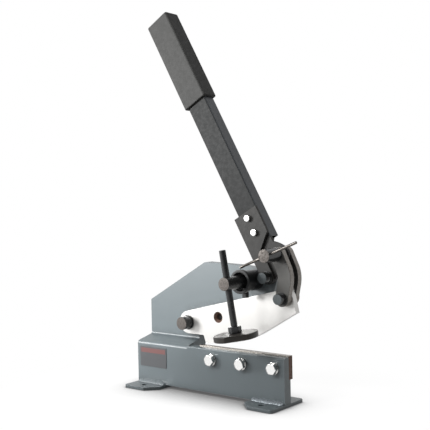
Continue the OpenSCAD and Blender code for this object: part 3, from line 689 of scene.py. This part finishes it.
# Its light rims are painted highlights, which draw the hub's ribs and mouth rim as thin light lines.
hubSteel = material(
    "hubSteel", steelGroup,
    {"Metallic": 0.1, "Specular IOR Level": 0.35}, ((0.34, 0.34, 0.35, 1), 0.8, 0.0006),
    Color=(0.02, 0.021, 0.022, 1), Stain=(0.05, 0.045, 0.04, 1), Stretch=(14.0, 14.0, 14.0),
    Roughness=0.34, Lines=0.05, Relief=0.01, Mottle=0.1,
)
darkFace = material(
    "darkFace", steelGroup, {"Metallic": 0.3},
    Color=(0.07, 0.082, 0.087, 1), Stain=(0.025, 0.026, 0.026, 1), Stretch=(20.0, 20.0, 20.0),
    Roughness=0.42, Lines=0.15, Relief=0.06, Mottle=0.3, Grain=420.0,
)
footSteel = material(
    "footSteel", steelGroup,
    {"Metallic": 0.1, "Specular IOR Level": 0.3}, ((0.3, 0.28, 0.26, 1), 0.5, 0.0008),
    Color=(0.038, 0.035, 0.031, 1), Stain=(0.07, 0.06, 0.05, 1), Stretch=(14.0, 14.0, 14.0),
    Roughness=0.36, Lines=0.12, Relief=0.05, Mottle=0.2,
)
barSteel = material(
    "barSteel", steelGroup, {"Metallic": 0.8},
    Color=(0.12, 0.11, 0.1, 1), Stain=(0.06, 0.05, 0.04, 1), Stretch=(4.0, 30.0, 30.0), Roughness=0.3,
    Lines=0.12, Relief=0.04, Mottle=0.2,
)
bronze = material(
    "bronze", steelGroup, {"Metallic": 1.0},
    Color=(0.6, 0.4, 0.19, 1), Stain=(0.25, 0.15, 0.07, 1), Stretch=(10.0, 10.0, 10.0), Roughness=0.34,
    Lines=0.12, Relief=0.05, Mottle=0.2,
)
gripRubber = material(
    "gripRubber", paintGroup, {"Specular IOR Level": 0.22}, None, grimeAndShade,
    Color=(0.068, 0.068, 0.066, 1), Shade=0.12, Roughness=0.66, Peel=0.2, Dust=0.05,
)
plateMetal = material(
    "plateMetal", paintGroup, {"Metallic": 0.3, "Coat Weight": 0.2, "Coat Roughness": 0.3},
    Color=(0.1, 0.104, 0.11, 1), Shade=0.1, Roughness=0.4, Peel=0.03, Dust=0.02,
)
plateBand = material(
    "plateBand", paintGroup, {"Metallic": 0.1, "Coat Weight": 0.2, "Coat Roughness": 0.3},
    Color=(0.2, 0.085, 0.08, 1), Shade=0.1, Roughness=0.42, Peel=0.03, Dust=0.02,
)

print("stage: frame")
framePlate = {"edge": 0.6, "faces": ((0, -1), (19, 1))}  # each face's Y and the way that it looks
piece("framePlate", [softened("frame_plate", framePlate["edge"])], framePaint, "frame", "frame_plate")

foot = {"thick": 6.0, "edge": 0.7}
for side in ("left", "right"):
    part = prism(loopsOf(side + "_foot", 1, flatZ), flatZ, 0, foot["thick"], foot["edge"])
    piece(side + "Foot", [part], framePaint, "frame", side + "_foot")

weld = {
    "left": {"x0": 2, "x1": 72, "leg": 6.4, "pitch": 3.4, "ripple": 0.08, "finish": weldPaint},
    "right": {"x0": 282, "x1": 352, "leg": 6.4, "pitch": 2.6, "ripple": 0.2, "finish": weldSilver},
    "slice": 0.45, "across": 12, "bow": 1.3, "low": 0.8, "jitter": 0.06, "tip": 0.25, "round": 0.45,
    "flat": 0.6325, "sink": 0.3,
}


# Rippled fillet along X. direction is -1 in front of the plate and 1 behind it.
def weldBead(bead, y, direction, seed):
    rng = random.Random(seed)
    x0, x1, leg, pitch = bead["x0"], bead["x1"], bead["leg"], bead["pitch"]
    slices = int((x1 - x0) / weld["slice"])
    jitter = [rng.uniform(-0.5, 0.5) for _ in range(int((x1 - x0) / pitch) + 3)]
    verts = []
    for i in range(slices + 1):
        x = x0 + (x1 - x0) * i / slices
        taper = math.sqrt(max(0.0, min(1.0, (x - x0) / leg, (x1 - x) / leg)))
        for k in range(weld["across"] + 1):
            a = k / weld["across"] * math.pi / 2
            phase = (x + weld["bow"] * math.sin(a * 2)) / pitch
            row = int(phase)
            wave = (0.5 - abs(phase - row - 0.5)) ** 0.6
            uneven = weld["jitter"] * jitter[max(0, min(row, len(jitter) - 1))]
            r = leg * (weld["low"] + bead["ripple"] * wave + uneven)
            r *= weld["tip"] + (1 - weld["tip"]) * taper
            reach = r * (weld["round"] + weld["flat"] / (math.cos(a) + math.sin(a)))
            verts.append(mm(x, y + direction * reach * math.cos(a), foot["thick"] + reach * math.sin(a)))
        verts.append(mm(x, y - direction * weld["sink"], foot["thick"] - weld["sink"]))
    return verts, gridFaces(slices + 1, weld["across"] + 2)


for side in ("left", "right"):
    beads = [weldBead(weld[side], y, way, side + str(y)) for y, way in framePlate["faces"]]
    piece(side + "Welds", beads, weld[side]["finish"], "frame", side + "_welds", None, 60)

namePlate = {"box": (7, 38, 77, 78), "corner": 2.0, "thick": 0.8, "edge": 0.2}
plateStripe = {"box": (9.5, 65.5, 74.5, 74.5), "corner": 0.6, "thick": 0.12, "edge": 0.05, "sink": 0.2}
front = -namePlate["thick"]
stripeFront, stripeBack = front - plateStripe["thick"], front + plateStripe["sink"]
stripe = roundedBox(*plateStripe["box"], plateStripe["corner"])
parts = [
    prism([roundedBox(*namePlate["box"], namePlate["corner"])], flatY, front, 0, namePlate["edge"]),
    prism([stripe], flatY, stripeFront, stripeBack, plateStripe["edge"]),
]
proud = mm(0, (front + stripeFront) / 2, 0).y
piece("namePlate", parts, plateMetal, "frame", "nameplate",
      (plateBand, lambda normal, centre: centre.y < proud))

print("stage: blades")
lowerBlade = {"box": (151, 48, 354, 90), "y": (14, 26), "corner": 0.3, "edge": 0.3}
outline = roundedBox(*lowerBlade["box"], lowerBlade["corner"], 45)
part = prism([outline], flatY, *lowerBlade["y"], lowerBlade["edge"])
piece("lowerBlade", [part], topSteel, "frame", "lower_blade", (oxideSteel, onEnds))

upperBlade = {"y": (26.25, 38.25), "edge": 0.4, "sinkR": 10.5, "sinkEdge": 0.15, "oxideR": 11.2}
outlines = loopsOf("upper_blade", 1, flatY)
barHole = min(outlines[1:], key=lambda q: (Vector(q[0]) - Vector(pivot["barHole"])).length)
barRadius = math.sqrt(abs(loopArea(barHole)) / math.pi)
wide, edge, front = upperBlade["sinkR"], upperBlade["sinkEdge"], upperBlade["y"][0]
deep = front + wide - barRadius
sinkProfile = [(0, front - 1), (wide + edge, front - 1), (wide + edge, front), (wide, front + edge),
               (barRadius, deep), (0, deep)]
blank = prism(outlines, flatY, *upperBlade["y"], upperBlade["edge"])
part = cutBy(blank, [lathe(sinkProfile, facing("barHole"))])
holeAt = placed("barHole")


def inBarHole(normal, centre):
    reach = math.hypot(centre.x - holeAt.x, centre.z - holeAt.z)
    return abs(normal.y) < 0.9 and reach < upperBlade["oxideR"] / 1000


piece("upperBlade", [part], groundSteel, "blade", "upper_blade", (oxideSteel, inBarHole))

bladeBush = {"inner": 8.08, "outer": 10.05, "y": (26.27, 38.23), "edge": 0.25}
profile = ringProfile(bladeBush["inner"], bladeBush["outer"], *bladeBush["y"], bladeBush["edge"])
piece("bladeBush", [lathe(profile, facing("blade"))], bronze, "blade", "blade_bush")

print("stage: fasteners")
bladeBolt = {
    "at": ((191, 68.5), (261.5, 68.5), (332, 68.5)), "turns": (0.35, 0.12, 0.5),
    "af": 19, "head": (-11.2, -3.2), "dish": 0.35, "shankR": 6, "end": 24.5,
}
bladeWasher = {"ring": (6.2, 11, -3.2, -0.02), "split": 1.2}
parts, washers = [], []
for spot, turn in zip(bladeBolt["at"], bladeBolt["turns"]):
    place = facing(spot) @ Matrix.Rotation(turn, 4, "Z")
    r, end = bladeBolt["shankR"], bladeBolt["end"]
    shank = lathe([(r, bladeBolt["head"][1] - 0.1), (r, end), (0, end)], place)
    parts += [hexBody(place, bladeBolt["af"], *bladeBolt["head"], 0, bladeBolt["dish"]), shank]
    washers.append(splitWasher(place, *bladeWasher["ring"], bladeWasher["split"] + turn * 3))
piece("lowerBladeBolts", parts, zincSteel, "frame", "lower_blade_bolts")
piece("lowerBladeWashers", washers, zincSteel, "frame", "lower_blade_washers")

# Rings are (inner radius, outer radius, front, back), and nuts (across flats, front, back, bore radius).
bladePivot = {
    "name": "bladePivot", "node": "blade_pivot", "at": "blade", "body": "frame", "face": faceSteel,
    "bolt": {"shank": 16, "head": 25, "front": 5, "under": 23.5, "tail": 73, "pitch": 2.0},
    "washers": ((8.2, 14, 23.5, 26), (8.2, 14, 57.52, 60)), "nut": (24, 60, 72, 8.06),
}
leverPivot = {
    "name": "leverPivot", "node": "lever_pivot", "at": "lever", "body": "frame", "face": darkFace,
    "bolt": {"shank": 12, "head": 20, "front": 9, "under": 23.5, "tail": 80.5, "pitch": 1.75},
    "washers": ((6.2, 11.5, 23.5, 26), (6.2, 11.5, 66, 68.5)), "nut": (17, 68.5, 76.5, 6.06),
}
linkPivot = {
    "name": "link", "node": "link", "at": "linkLow", "body": "links", "face": darkFace,
    "bolt": {"shank": 10, "head": 19, "front": 0.5, "under": 11.5, "tail": 61, "pitch": 1.5},
    "washers": ((5.2, 11, 11.5, 13.98), (5.2, 11, 50.52, 53)), "nut": (17, 53, 60, 5.06),
}
for pin in (bladePivot, leverPivot, linkPivot):
    name, node, body, at = pin["name"], pin["node"], pin["body"], facing(pin["at"])
    washers = [lathe(ringProfile(*ring), at) for ring in pin["washers"]]
    piece(name + "Bolt", pinParts(at, pin["bolt"]), blackSteel, body, node + "_bolt",
          (pin["face"], onFront))
    piece(name + "Washers", washers, blackSteel, body, node + "_washers")
    piece(name + "Nut", [hexBody(at, *pin["nut"])], blackSteel, body, node + "_nut")

print("stage: lever")
lever = {"lean": math.radians(29)}
leverPlace = tilted(placed("lever"), lever["lean"])
leverStand = standing(placed("lever"), lever["lean"])

tube = {
    "middle": 16.6, "half": 23.0, "y": (32.25, 59.75), "w": (64, 561), "wall": 2.5, "corner": 2.6,
    "innerCorner": 1.2, "edge": 0.35,
}


# Rounded box that reaches half to either side of the tube's middle.
def aboutTube(half, y0, y1, corner):
    return roundedBox(tube["middle"] - half, y0, tube["middle"] + half, y1, corner)


front, back, wall = *tube["y"], tube["wall"]
outlines = [
    aboutTube(tube["half"], front, back, tube["corner"]),
    aboutTube(tube["half"] - wall, front + wall, back - wall, tube["innerCorner"]),
]
piece("leverTube", [prism(outlines, leverStand, *tube["w"], tube["edge"])], tubePaint, "lever",
      "lever_tube", (tubeSidePaintedLight, onRight))

grip = {
    "half": 28.5, "y": (26.75, 65.25), "w": (368.5, 566.5), "corner": 4.6, "edge": 2.2,
    "hollow": (23.15, 32.1, 59.9, 2.6), "hollowEnd": 561.2,
}
sleeve = prism([aboutTube(grip["half"], *grip["y"], grip["corner"])], leverStand, *grip["w"], grip["edge"], 4)
hollow = prism([aboutTube(*grip["hollow"])], leverStand, grip["w"][0] - 5, grip["hollowEnd"], 0.1)
piece("leverGrip", [cutBy(sleeve, [hollow])], gripRubber, "lever", "lever_grip")

strap = {"front": 26.25, "rear": 59.75, "thick": 6, "edge": 0.55}
for side in ("front", "rear"):
    node, w0 = side + "_strap", strap[side]
    part = prism(loopsOf(node, 1, leverPlace), leverPlace, w0, w0 + strap["thick"], strap["edge"])
    piece(side + "Strap", [part], leverPaint, "lever", node)

crank = {"y": (32.25, 38.25), "boss": (6.06, 12, 26.25, 32.3), "edge": 0.55}
part = prism(loopsOf("crank_plate", 1, leverPlace), leverPlace, *crank["y"], crank["edge"])
boss = lathe(ringProfile(*crank["boss"]), facing("linkTop"))
piece("crankPlate", [part, boss], leverPaint, "lever", "crank_plate")

leverBolt = {
    "rows": (83, 113), "headR": 6.0, "head": (20.75, 26.25), "edge": 0.9, "shankR": 4,
    "thread": (62, 73.75), "pitch": 1.25, "turn": 0.2, "nut": (13, 65.75, 71.75, 4.06),
}
wide, r, bare = leverBolt["headR"], leverBolt["shankR"], leverBolt["thread"][0]
front, under = leverBolt["head"]
profile = [(0, front), *rimPoints(wide, front, leverBolt["edge"]), (wide, under), (r, under), (r, bare),
           (0, bare)]
parts, nuts = [], []
for row in leverBolt["rows"]:
    place = tilted(leverPlace @ Vector((tube["middle"], row, 0)), leverBolt["turn"] + row)
    thread = threadBody(place, 2 * r, leverBolt["pitch"], *leverBolt["thread"], 32)
    parts += [lathe(profile, place, 32), thread]
    nuts.append(hexBody(place, *leverBolt["nut"]))
piece("leverBolts", parts, zincSteel, "lever", "lever_bolts")
piece("leverNuts", nuts, zincSteel, "lever", "lever_nuts")

print("stage: links")
link = {
    "front": 14, "rear": 38.5, "thick": 12, "edge": 0.7, "inner": 31.0, "outer": 58.0, "lowR": 14.5,
    "holes": {"linkTop": 6.06, "linkLow": 5.2},
}


# Turn and length of the way from the lever pivot to a link pivot.
def fromLever(name):
    x, z = pivot[name][0] - pivot["lever"][0], pivot[name][1] - pivot["lever"][1]
    return math.degrees(math.atan2(z, x)), math.hypot(x, z)


# An arc about the lever pivot, run on straight to a round end at each link pivot.
def linkOutline():
    middle, half = (link["inner"] + link["outer"]) / 2, (link["outer"] - link["inner"]) / 2
    (topTurn, topReach), (lowTurn, lowReach) = fromLever("linkTop"), fromLever("linkLow")
    high = topTurn - math.degrees(math.acos(middle / topReach))
    low = lowTurn + math.degrees(math.acos(middle / lowReach))
    past = math.degrees(math.acos(half / link["lowR"]))
    return (
        arcPoints(*pivot["lever"], link["outer"], low, high, 3)
        + arcPoints(*pivot["linkTop"], half, high, high + 180)
        + arcPoints(*pivot["lever"], link["inner"], high, low, 3)
        + arcPoints(*pivot["linkLow"], link["lowR"], low + 180 - past, low + 360 + past)
    )


outlines = [linkOutline()] + [roundHole(name, r) for name, r in link["holes"].items()]
for side in ("front", "rear"):
    part = prism(outlines, flatY, link[side], link[side] + link["thick"], link["edge"])
    piece(side + "Link", [part], linkPaint, "links", side + "_link", (cutSteel, onRim))

bar = {"r": 2.5, "half": 64.5, "shift": 3.2, "y": -17.25, "tilt": math.radians(21.4), "edge": 0.7}
barPlace = standing(placed("linkTop", bar["y"]), bar["tilt"] - math.pi / 2)
r, low, high = bar["r"], bar["shift"] - bar["half"], bar["shift"] + bar["half"]
profile = [(0, low), *rimPoints(r, low, bar["edge"]), *rimPoints(r, high, bar["edge"], True), (0, high)]
piece("clampBar", [lathe(profile, barPlace, 32)], barSteel, "clamp_handle", "clamp_bar")

clampScrew = {
    "shank": 12, "head": 24, "front": -25.25, "under": 13.75, "tail": 58.5, "pitch": 1.75, "edge": 1.1,
    "thread": 8.5, "nut": (17, 50.5, 57.5, 6.06),
}
at = facing("linkTop")
body, thread = pinParts(at, clampScrew)
bore = roundBar(r + play, -boreReach, boreReach, barPlace, 32)
piece("clampScrew", [cutBy(body, [bore]), thread], blackSteel, "clamp", "clamp_screw",
      (faceSteel, onFront))
nut = hexBody(at, *clampScrew["nut"])
piece("clampScrewNut", [nut], blackSteel, "links", "clamp_screw_nut")

print("stage: hold-down")
hub = {
    "collar": 22, "body": 19, "mouth": 17, "bore": 12.06, "y": (-11, 38.48), "floor": 5, "step": -3,
    "grooves": 6, "pitch": 3.5, "lastGroove": 35.5, "grooveDepth": 1.1,
}
collar, around, mouth, bore = hub["collar"], hub["body"], hub["mouth"], hub["bore"]
floorY, step, (front, back) = hub["floor"], hub["step"], hub["y"]
profile = [
    (bore, back), (bore, floorY + 0.5), (bore + 0.5, floorY), (mouth, floorY), (mouth, front + 0.5),
    (mouth + 0.5, front), (collar - 0.7, front), (collar - 0.2, front + 0.25), (collar, front + 0.8),
    (collar, step - 0.6), (collar - 0.4, step), (around, step),
]
for i in range(hub["grooves"] - 1, -1, -1):
    groove, inside = hub["lastGroove"] - i * hub["pitch"], around - hub["grooveDepth"]
    profile += [(around, groove - 1.5), (inside, groove - 1.25), (inside, groove - 0.25), (around, groove)]
profile += [(around, back), (bore, back)]
at = facing("hold")
setScrew = {
    "y": 6.5, "half": 4.5, "head": (189, 199.7), "corner": 0.8, "edge": 0.5,
    "shankR": 4.0, "shank": (199, 206.7), "bore": (195, 210),
}
screwPlace = standing(mm(pivot["hold"][0], setScrew["y"], 0), 0)
half, r, (low, top) = setScrew["half"], setScrew["shankR"], setScrew["shank"]
bore = roundBar(r + play, *setScrew["bore"], screwPlace, 32)
part = cutBy(lathe(profile, at, 72), [bore])
piece("holdDownHub", [part], hubSteel, "frame", "hold_down_hub")
head = prism([roundedBox(-half, -half, half, half, setScrew["corner"])], screwPlace, *setScrew["head"],
             setScrew["edge"])
shank = lathe([(0, low), (r, low), (r, top - 0.3), (r - 0.6, top), (0, top)], screwPlace, 32)
piece("hubSetScrew", [head, shank], hubSteel, "set_screw", "hub_set_screw")

rod = {
    "lean": math.radians(3.6), "tilt": math.radians(-7.3), "y": -46, "r": 6, "w": (-97.5, 60), "end": 8.5,
    "endThick": 2,
}
sinLean, cosLean = math.sin(rod["lean"]), math.cos(rod["lean"])
sinTilt, cosTilt = math.sin(rod["tilt"]), math.cos(rod["tilt"])
rodU, rodV = Vector((cosTilt, 0, -sinTilt)), Vector((sinLean * sinTilt, cosLean, sinLean * cosTilt))
rodW = Vector((cosLean * sinTilt, -sinLean, cosLean * cosTilt))
rodPlace = axes(placed("hold", rod["y"]), rodU, rodV, rodW)
r, wide, low, high = rod["r"], rod["end"], *rod["w"]
shoulder = low + rod["endThick"]
profile = [(0, high), (r - 1.2, high), (r - 0.4, high - 0.4), (r, high - 1.2), (r, shoulder),
           (wide, shoulder), (wide, low + 0.3), (wide - 0.3, low), (0, low)]
piece("holdDownRod", [lathe(profile, rodPlace, 48)], blackSteel, "rod", "hold_down_rod")

shaft = {"r": 12, "y": (-57.5, 63.5), "edge": 1.0, "groove": (57.75, 60, 10.5), "ring": (10.55, 15.5)}
bore = roundBar(r + play, -boreReach, boreReach, rodPlace, 48)
r, (front, back), (near, far, inside) = shaft["r"], shaft["y"], shaft["groove"]
profile = [(0, front), *rimPoints(r, front, shaft["edge"]), (r, near), (inside, near), (inside, far),
           (r, far), (r, back - 0.5), (r - 0.5, back), (0, back)]
ring = lathe(ringProfile(*shaft["ring"], near, far), at)
piece("holdDownShaft", [cutBy(lathe(profile, at, 72), [bore])], blackSteel, "shaft", "hold_down_shaft",
      (faceSteel, onFront))
piece("shaftRing", [ring], barSteel, "shaft", "shaft_ring")

rodNut = {"af": 21, "w": (-87.75, -75.75), "bore": 6.06}
pad = {
    "turn": math.radians(-51), "r": 40.0, "flat": 34.0, "w": (-98.5, -88), "bore": 6.06,
    "recess": (9.0, -95.25), "lowEdge": (1.4, 0.4), "topEdge": (1.6, 0.45), "boreEdge": 0.4,
}
sinTurn, cosTurn = math.sin(pad["turn"]), math.cos(pad["turn"])
padU, padV = rodU * cosTurn + rodV * sinTurn, rodV * cosTurn - rodU * sinTurn
padPlace = axes(placed("hold", rod["y"]), padU, padV, rodW)
corner = math.acos(pad["flat"] / pad["r"])


# Radius of the round disc with its one flat, at the turn t.
def padOutline(t):
    fromFlat = (t + math.pi) % (2 * math.pi) - math.pi
    return pad["flat"] / math.cos(t) if abs(fromFlat) < corner else pad["r"]


bore, (inside, roof), (bottom, top) = pad["bore"], pad["recess"], pad["w"]
(inLow, upLow), (inTop, downTop), boreEdge = pad["lowEdge"], pad["topEdge"], pad["boreEdge"]
rows = [
    (bore, 0, roof), (inside, 0, roof), (inside, 0, bottom),
    (None, inLow, bottom), (None, upLow, bottom + upLow), (None, 0, bottom + inLow),
    (None, 0, top - inTop), (None, downTop, top - downTop), (None, inTop, top),
    (bore + boreEdge, 0, top), (bore, 0, top - boreEdge),
]
turns = [-corner + 2 * corner * i / 16 for i in range(16)]
turns += [corner + (2 * math.pi - 2 * corner) * i / 110 for i in range(110)]
nut = hexBody(padPlace, rodNut["af"], *rodNut["w"], rodNut["bore"])
piece("rodNut", [nut], blackSteel, "rod", "rod_nut")
piece("holdDownFoot", [turnedTo(padOutline, rows, padPlace, turns)], footSteel, "foot", "hold_down_foot")

print("stage: studio")
studio = {
    "fill": (0.42, 0.12), "floorHalf": 6, "floorDrop": 0.0002, "floorColor": (0.14, 0.138, 0.135, 1),
    "glow": 0.95, "shadowReach": 0.11, "shadowRange": (0.45, 0.94, 0.1, 1.0),
    "shadowTint": (0.9, 0.9, 0.91, 1), "whiteFrom": 0.26, "whiteAt": 0.42,
}
white = (1, 1, 1, 1)
world = bpy.data.worlds.new("studio")
scene.world = world
world.use_nodes = True
tree = world.node_tree
tree.nodes.clear()


# 1 where the camera, a mirror or glass looks, 0 for light on the object.
def shownMask(tree):
    ray = add(tree, "LightPath")
    seen = mathNode(tree, "MAXIMUM", ray.outputs["Is Camera Ray"], ray.outputs["Is Glossy Ray"])
    return mathNode(tree, "MAXIMUM", seen, ray.outputs["Is Transmission Ray"])


# White where it is seen. As light it goes from the first fill at the horizon to the second overhead.
way = add(tree, "TexCoord").outputs["Generated"]
height = add(tree, "SeparateXYZ", Vector=way).outputs["Z"]
fill = mapRange(tree, height, 0.0, 1.0, *studio["fill"])
shown = shownMask(tree)
kept = times(tree, fill, mathNode(tree, "SUBTRACT", 1.0, shown))
sky = add(tree, "Background", Color=white, Strength=mathNode(tree, "ADD", kept, shown))
tree.links.new(sky.outputs[0], add(tree, "OutputWorld").inputs[0])

# Floor with a soft contact shadow, painted where its glow dims with ambient occlusion, plain white further
# out.
half = studio["floorHalf"]
corners = [(-half, -half, 0), (half, -half, 0), (half, half, 0), (-half, half, 0)]
floor = linked("floor", meshOf("floor", corners, [(0, 1, 2, 3)]))
floor.location.z = -studio["floorDrop"]
floorLook = bpy.data.materials.new("floor")
floorLook.use_nodes = True
tree = floorLook.node_tree
tree.nodes.clear()
mask = shownMask(tree)
diffuse = add(tree, "BsdfDiffuse", Color=studio["floorColor"]).outputs[0]
hidden = add(tree, "AmbientOcclusion", {"samples": 12}, Distance=studio["shadowReach"])
openness = mapRange(tree, hidden.outputs["AO"], *studio["shadowRange"])
tint = blendColor(tree, openness, studio["shadowTint"], white)
strength = times(tree, times(tree, openness, studio["glow"]), mask)
near = add(tree, "AddShader")
tree.links.new(diffuse, near.inputs[0])
tree.links.new(add(tree, "Emission", Color=tint, Strength=strength).outputs[0], near.inputs[1])
far = add(tree, "Emission", Color=white, Strength=1.0).outputs[0]
away = vectorNode(tree, "LENGTH", objectSpot(tree), (0, 0, 0)).outputs["Value"]
whiteShare = mapRange(tree, away, studio["whiteFrom"], studio["whiteAt"], 0.0, 1.0)
blend = add(tree, "MixShader")
tree.links.new(times(tree, whiteShare, mask), blend.inputs[0])
tree.links.new(near.outputs[0], blend.inputs[1])
tree.links.new(far, blend.inputs[2])
tree.links.new(blend.outputs[0], add(tree, "OutputMaterial").inputs[0])
floor.data.materials.append(floorLook)

screenLook = bpy.data.materials.new("screen")
screenLook.use_nodes = True
screenShader = next(n for n in screenLook.node_tree.nodes if n.type == "BSDF_PRINCIPLED")
screenShader.inputs["Base Color"].default_value = (0.03, 0.03, 0.03, 1)
screenShader.inputs["Roughness"].default_value = 1.0
screenShader.inputs["Specular IOR Level"].default_value = 0.0


# Dark sheet that none of the unseenBy rays meet.
def darkSheet(name, verts, faces, unseenBy):
    made = linked(name, meshOf(name, verts, faces))
    made.data.materials.append(screenLook)
    for kind in unseenBy:
        setattr(made, "visible_" + kind, False)


# Upright screen on the camera's side, seen only in reflections.
screen = {"radius": 2.4, "from": -4, "to": 104, "high": 2.2, "parts": 36}
verts = []
for i in range(screen["parts"] + 1):
    t = math.radians(screen["from"] + (screen["to"] - screen["from"]) * i / screen["parts"])
    x, y = screen["radius"] * math.sin(t), -screen["radius"] * math.cos(t)
    verts += [(x, y, 0), (x, y, screen["high"])]
faces = [(2 * i, 2 * i + 1, 2 * i + 3, 2 * i + 2) for i in range(screen["parts"])]
darkSheet("screen", verts, faces, ("camera", "diffuse", "transmission", "shadow", "volume_scatter"))

lamps = {
    "keyLight": {"at": (-1.2, -1.2, 0.62), "to": (0, 0, 0.2), "size": 0.6, "power": 37},
    "frontLight": {"at": (-0.24, -1.3, 1.05), "to": (0, 0, 0.15), "size": 0.25, "power": 9},
}

# Sheet in the key lamp's way. Its outline is given on the front wall, whose lower right it darkens.
shade = {
    "outline": [(60, -20), (90, 16), (195, 46), (235, 84), (440, 84), (440, -20)], "middle": (228, 0, 55),
    "away": 0.42,
}
way = (Vector(lamps["keyLight"]["at"]) - mm(*shade["middle"])).normalized() * shade["away"]
verts = [mm(x, 0, z) + way for x, z in shade["outline"]]
darkSheet("shade", verts, [tuple(range(len(verts)))], ("camera", "glossy", "transmission", "volume_scatter"))


def areaLight(name, at, to, size, power):
    data = bpy.data.lights.new(name, "AREA")
    data.shape = "RECTANGLE"
    data.size, data.size_y = size, size
    data.energy = power
    lamp = linked(name, data)
    lamp.location = at
    lamp.rotation_mode = "QUATERNION"
    lamp.rotation_quaternion = (Vector(to) - Vector(at)).to_track_quat("-Z", "Y")
    lamp.visible_camera = False


for name, lamp in lamps.items():
    areaLight(name, **lamp)

# Angles in degrees, focal length and picture width in the photo's pixels.
view = {
    "azimuth": 38.72, "elevation": 1.02, "roll": -1.12, "aim": (205.9, 0, 339.4), "away": 1.4829,
    "focal": 800, "width": 430, "sensor": 36,
}
cameraData = bpy.data.cameras.new("camera")
camera = linked("camera", cameraData)
scene.camera = camera
azimuth, elevation, roll = (math.radians(view[key]) for key in ("azimuth", "elevation", "roll"))
level = math.cos(elevation)
back = Vector((math.sin(azimuth) * level, -math.cos(azimuth) * level, math.sin(elevation)))
rightward = Vector((math.cos(azimuth), math.sin(azimuth), 0))
above = back.cross(rightward)
turnedRight = math.cos(roll) * rightward + math.sin(roll) * above
turnedAbove = -math.sin(roll) * rightward + math.cos(roll) * above
spot = mm(*view["aim"]) + back * view["away"]
camera.matrix_world = Matrix(
    [[turnedRight[i], turnedAbove[i], back[i], spot[i]] for i in range(3)] + [[0, 0, 0, 1]]
)
cameraData.sensor_width = view["sensor"]
cameraData.lens = view["sensor"] * view["focal"] / view["width"]
cameraData.clip_start, cameraData.clip_end = 0.05, 50

scene.render.engine = "CYCLES"
scene.view_settings.view_transform = "Standard"
scene.cycles.samples = 384
scene.cycles.use_denoising = True
scene.cycles.max_bounces = 8
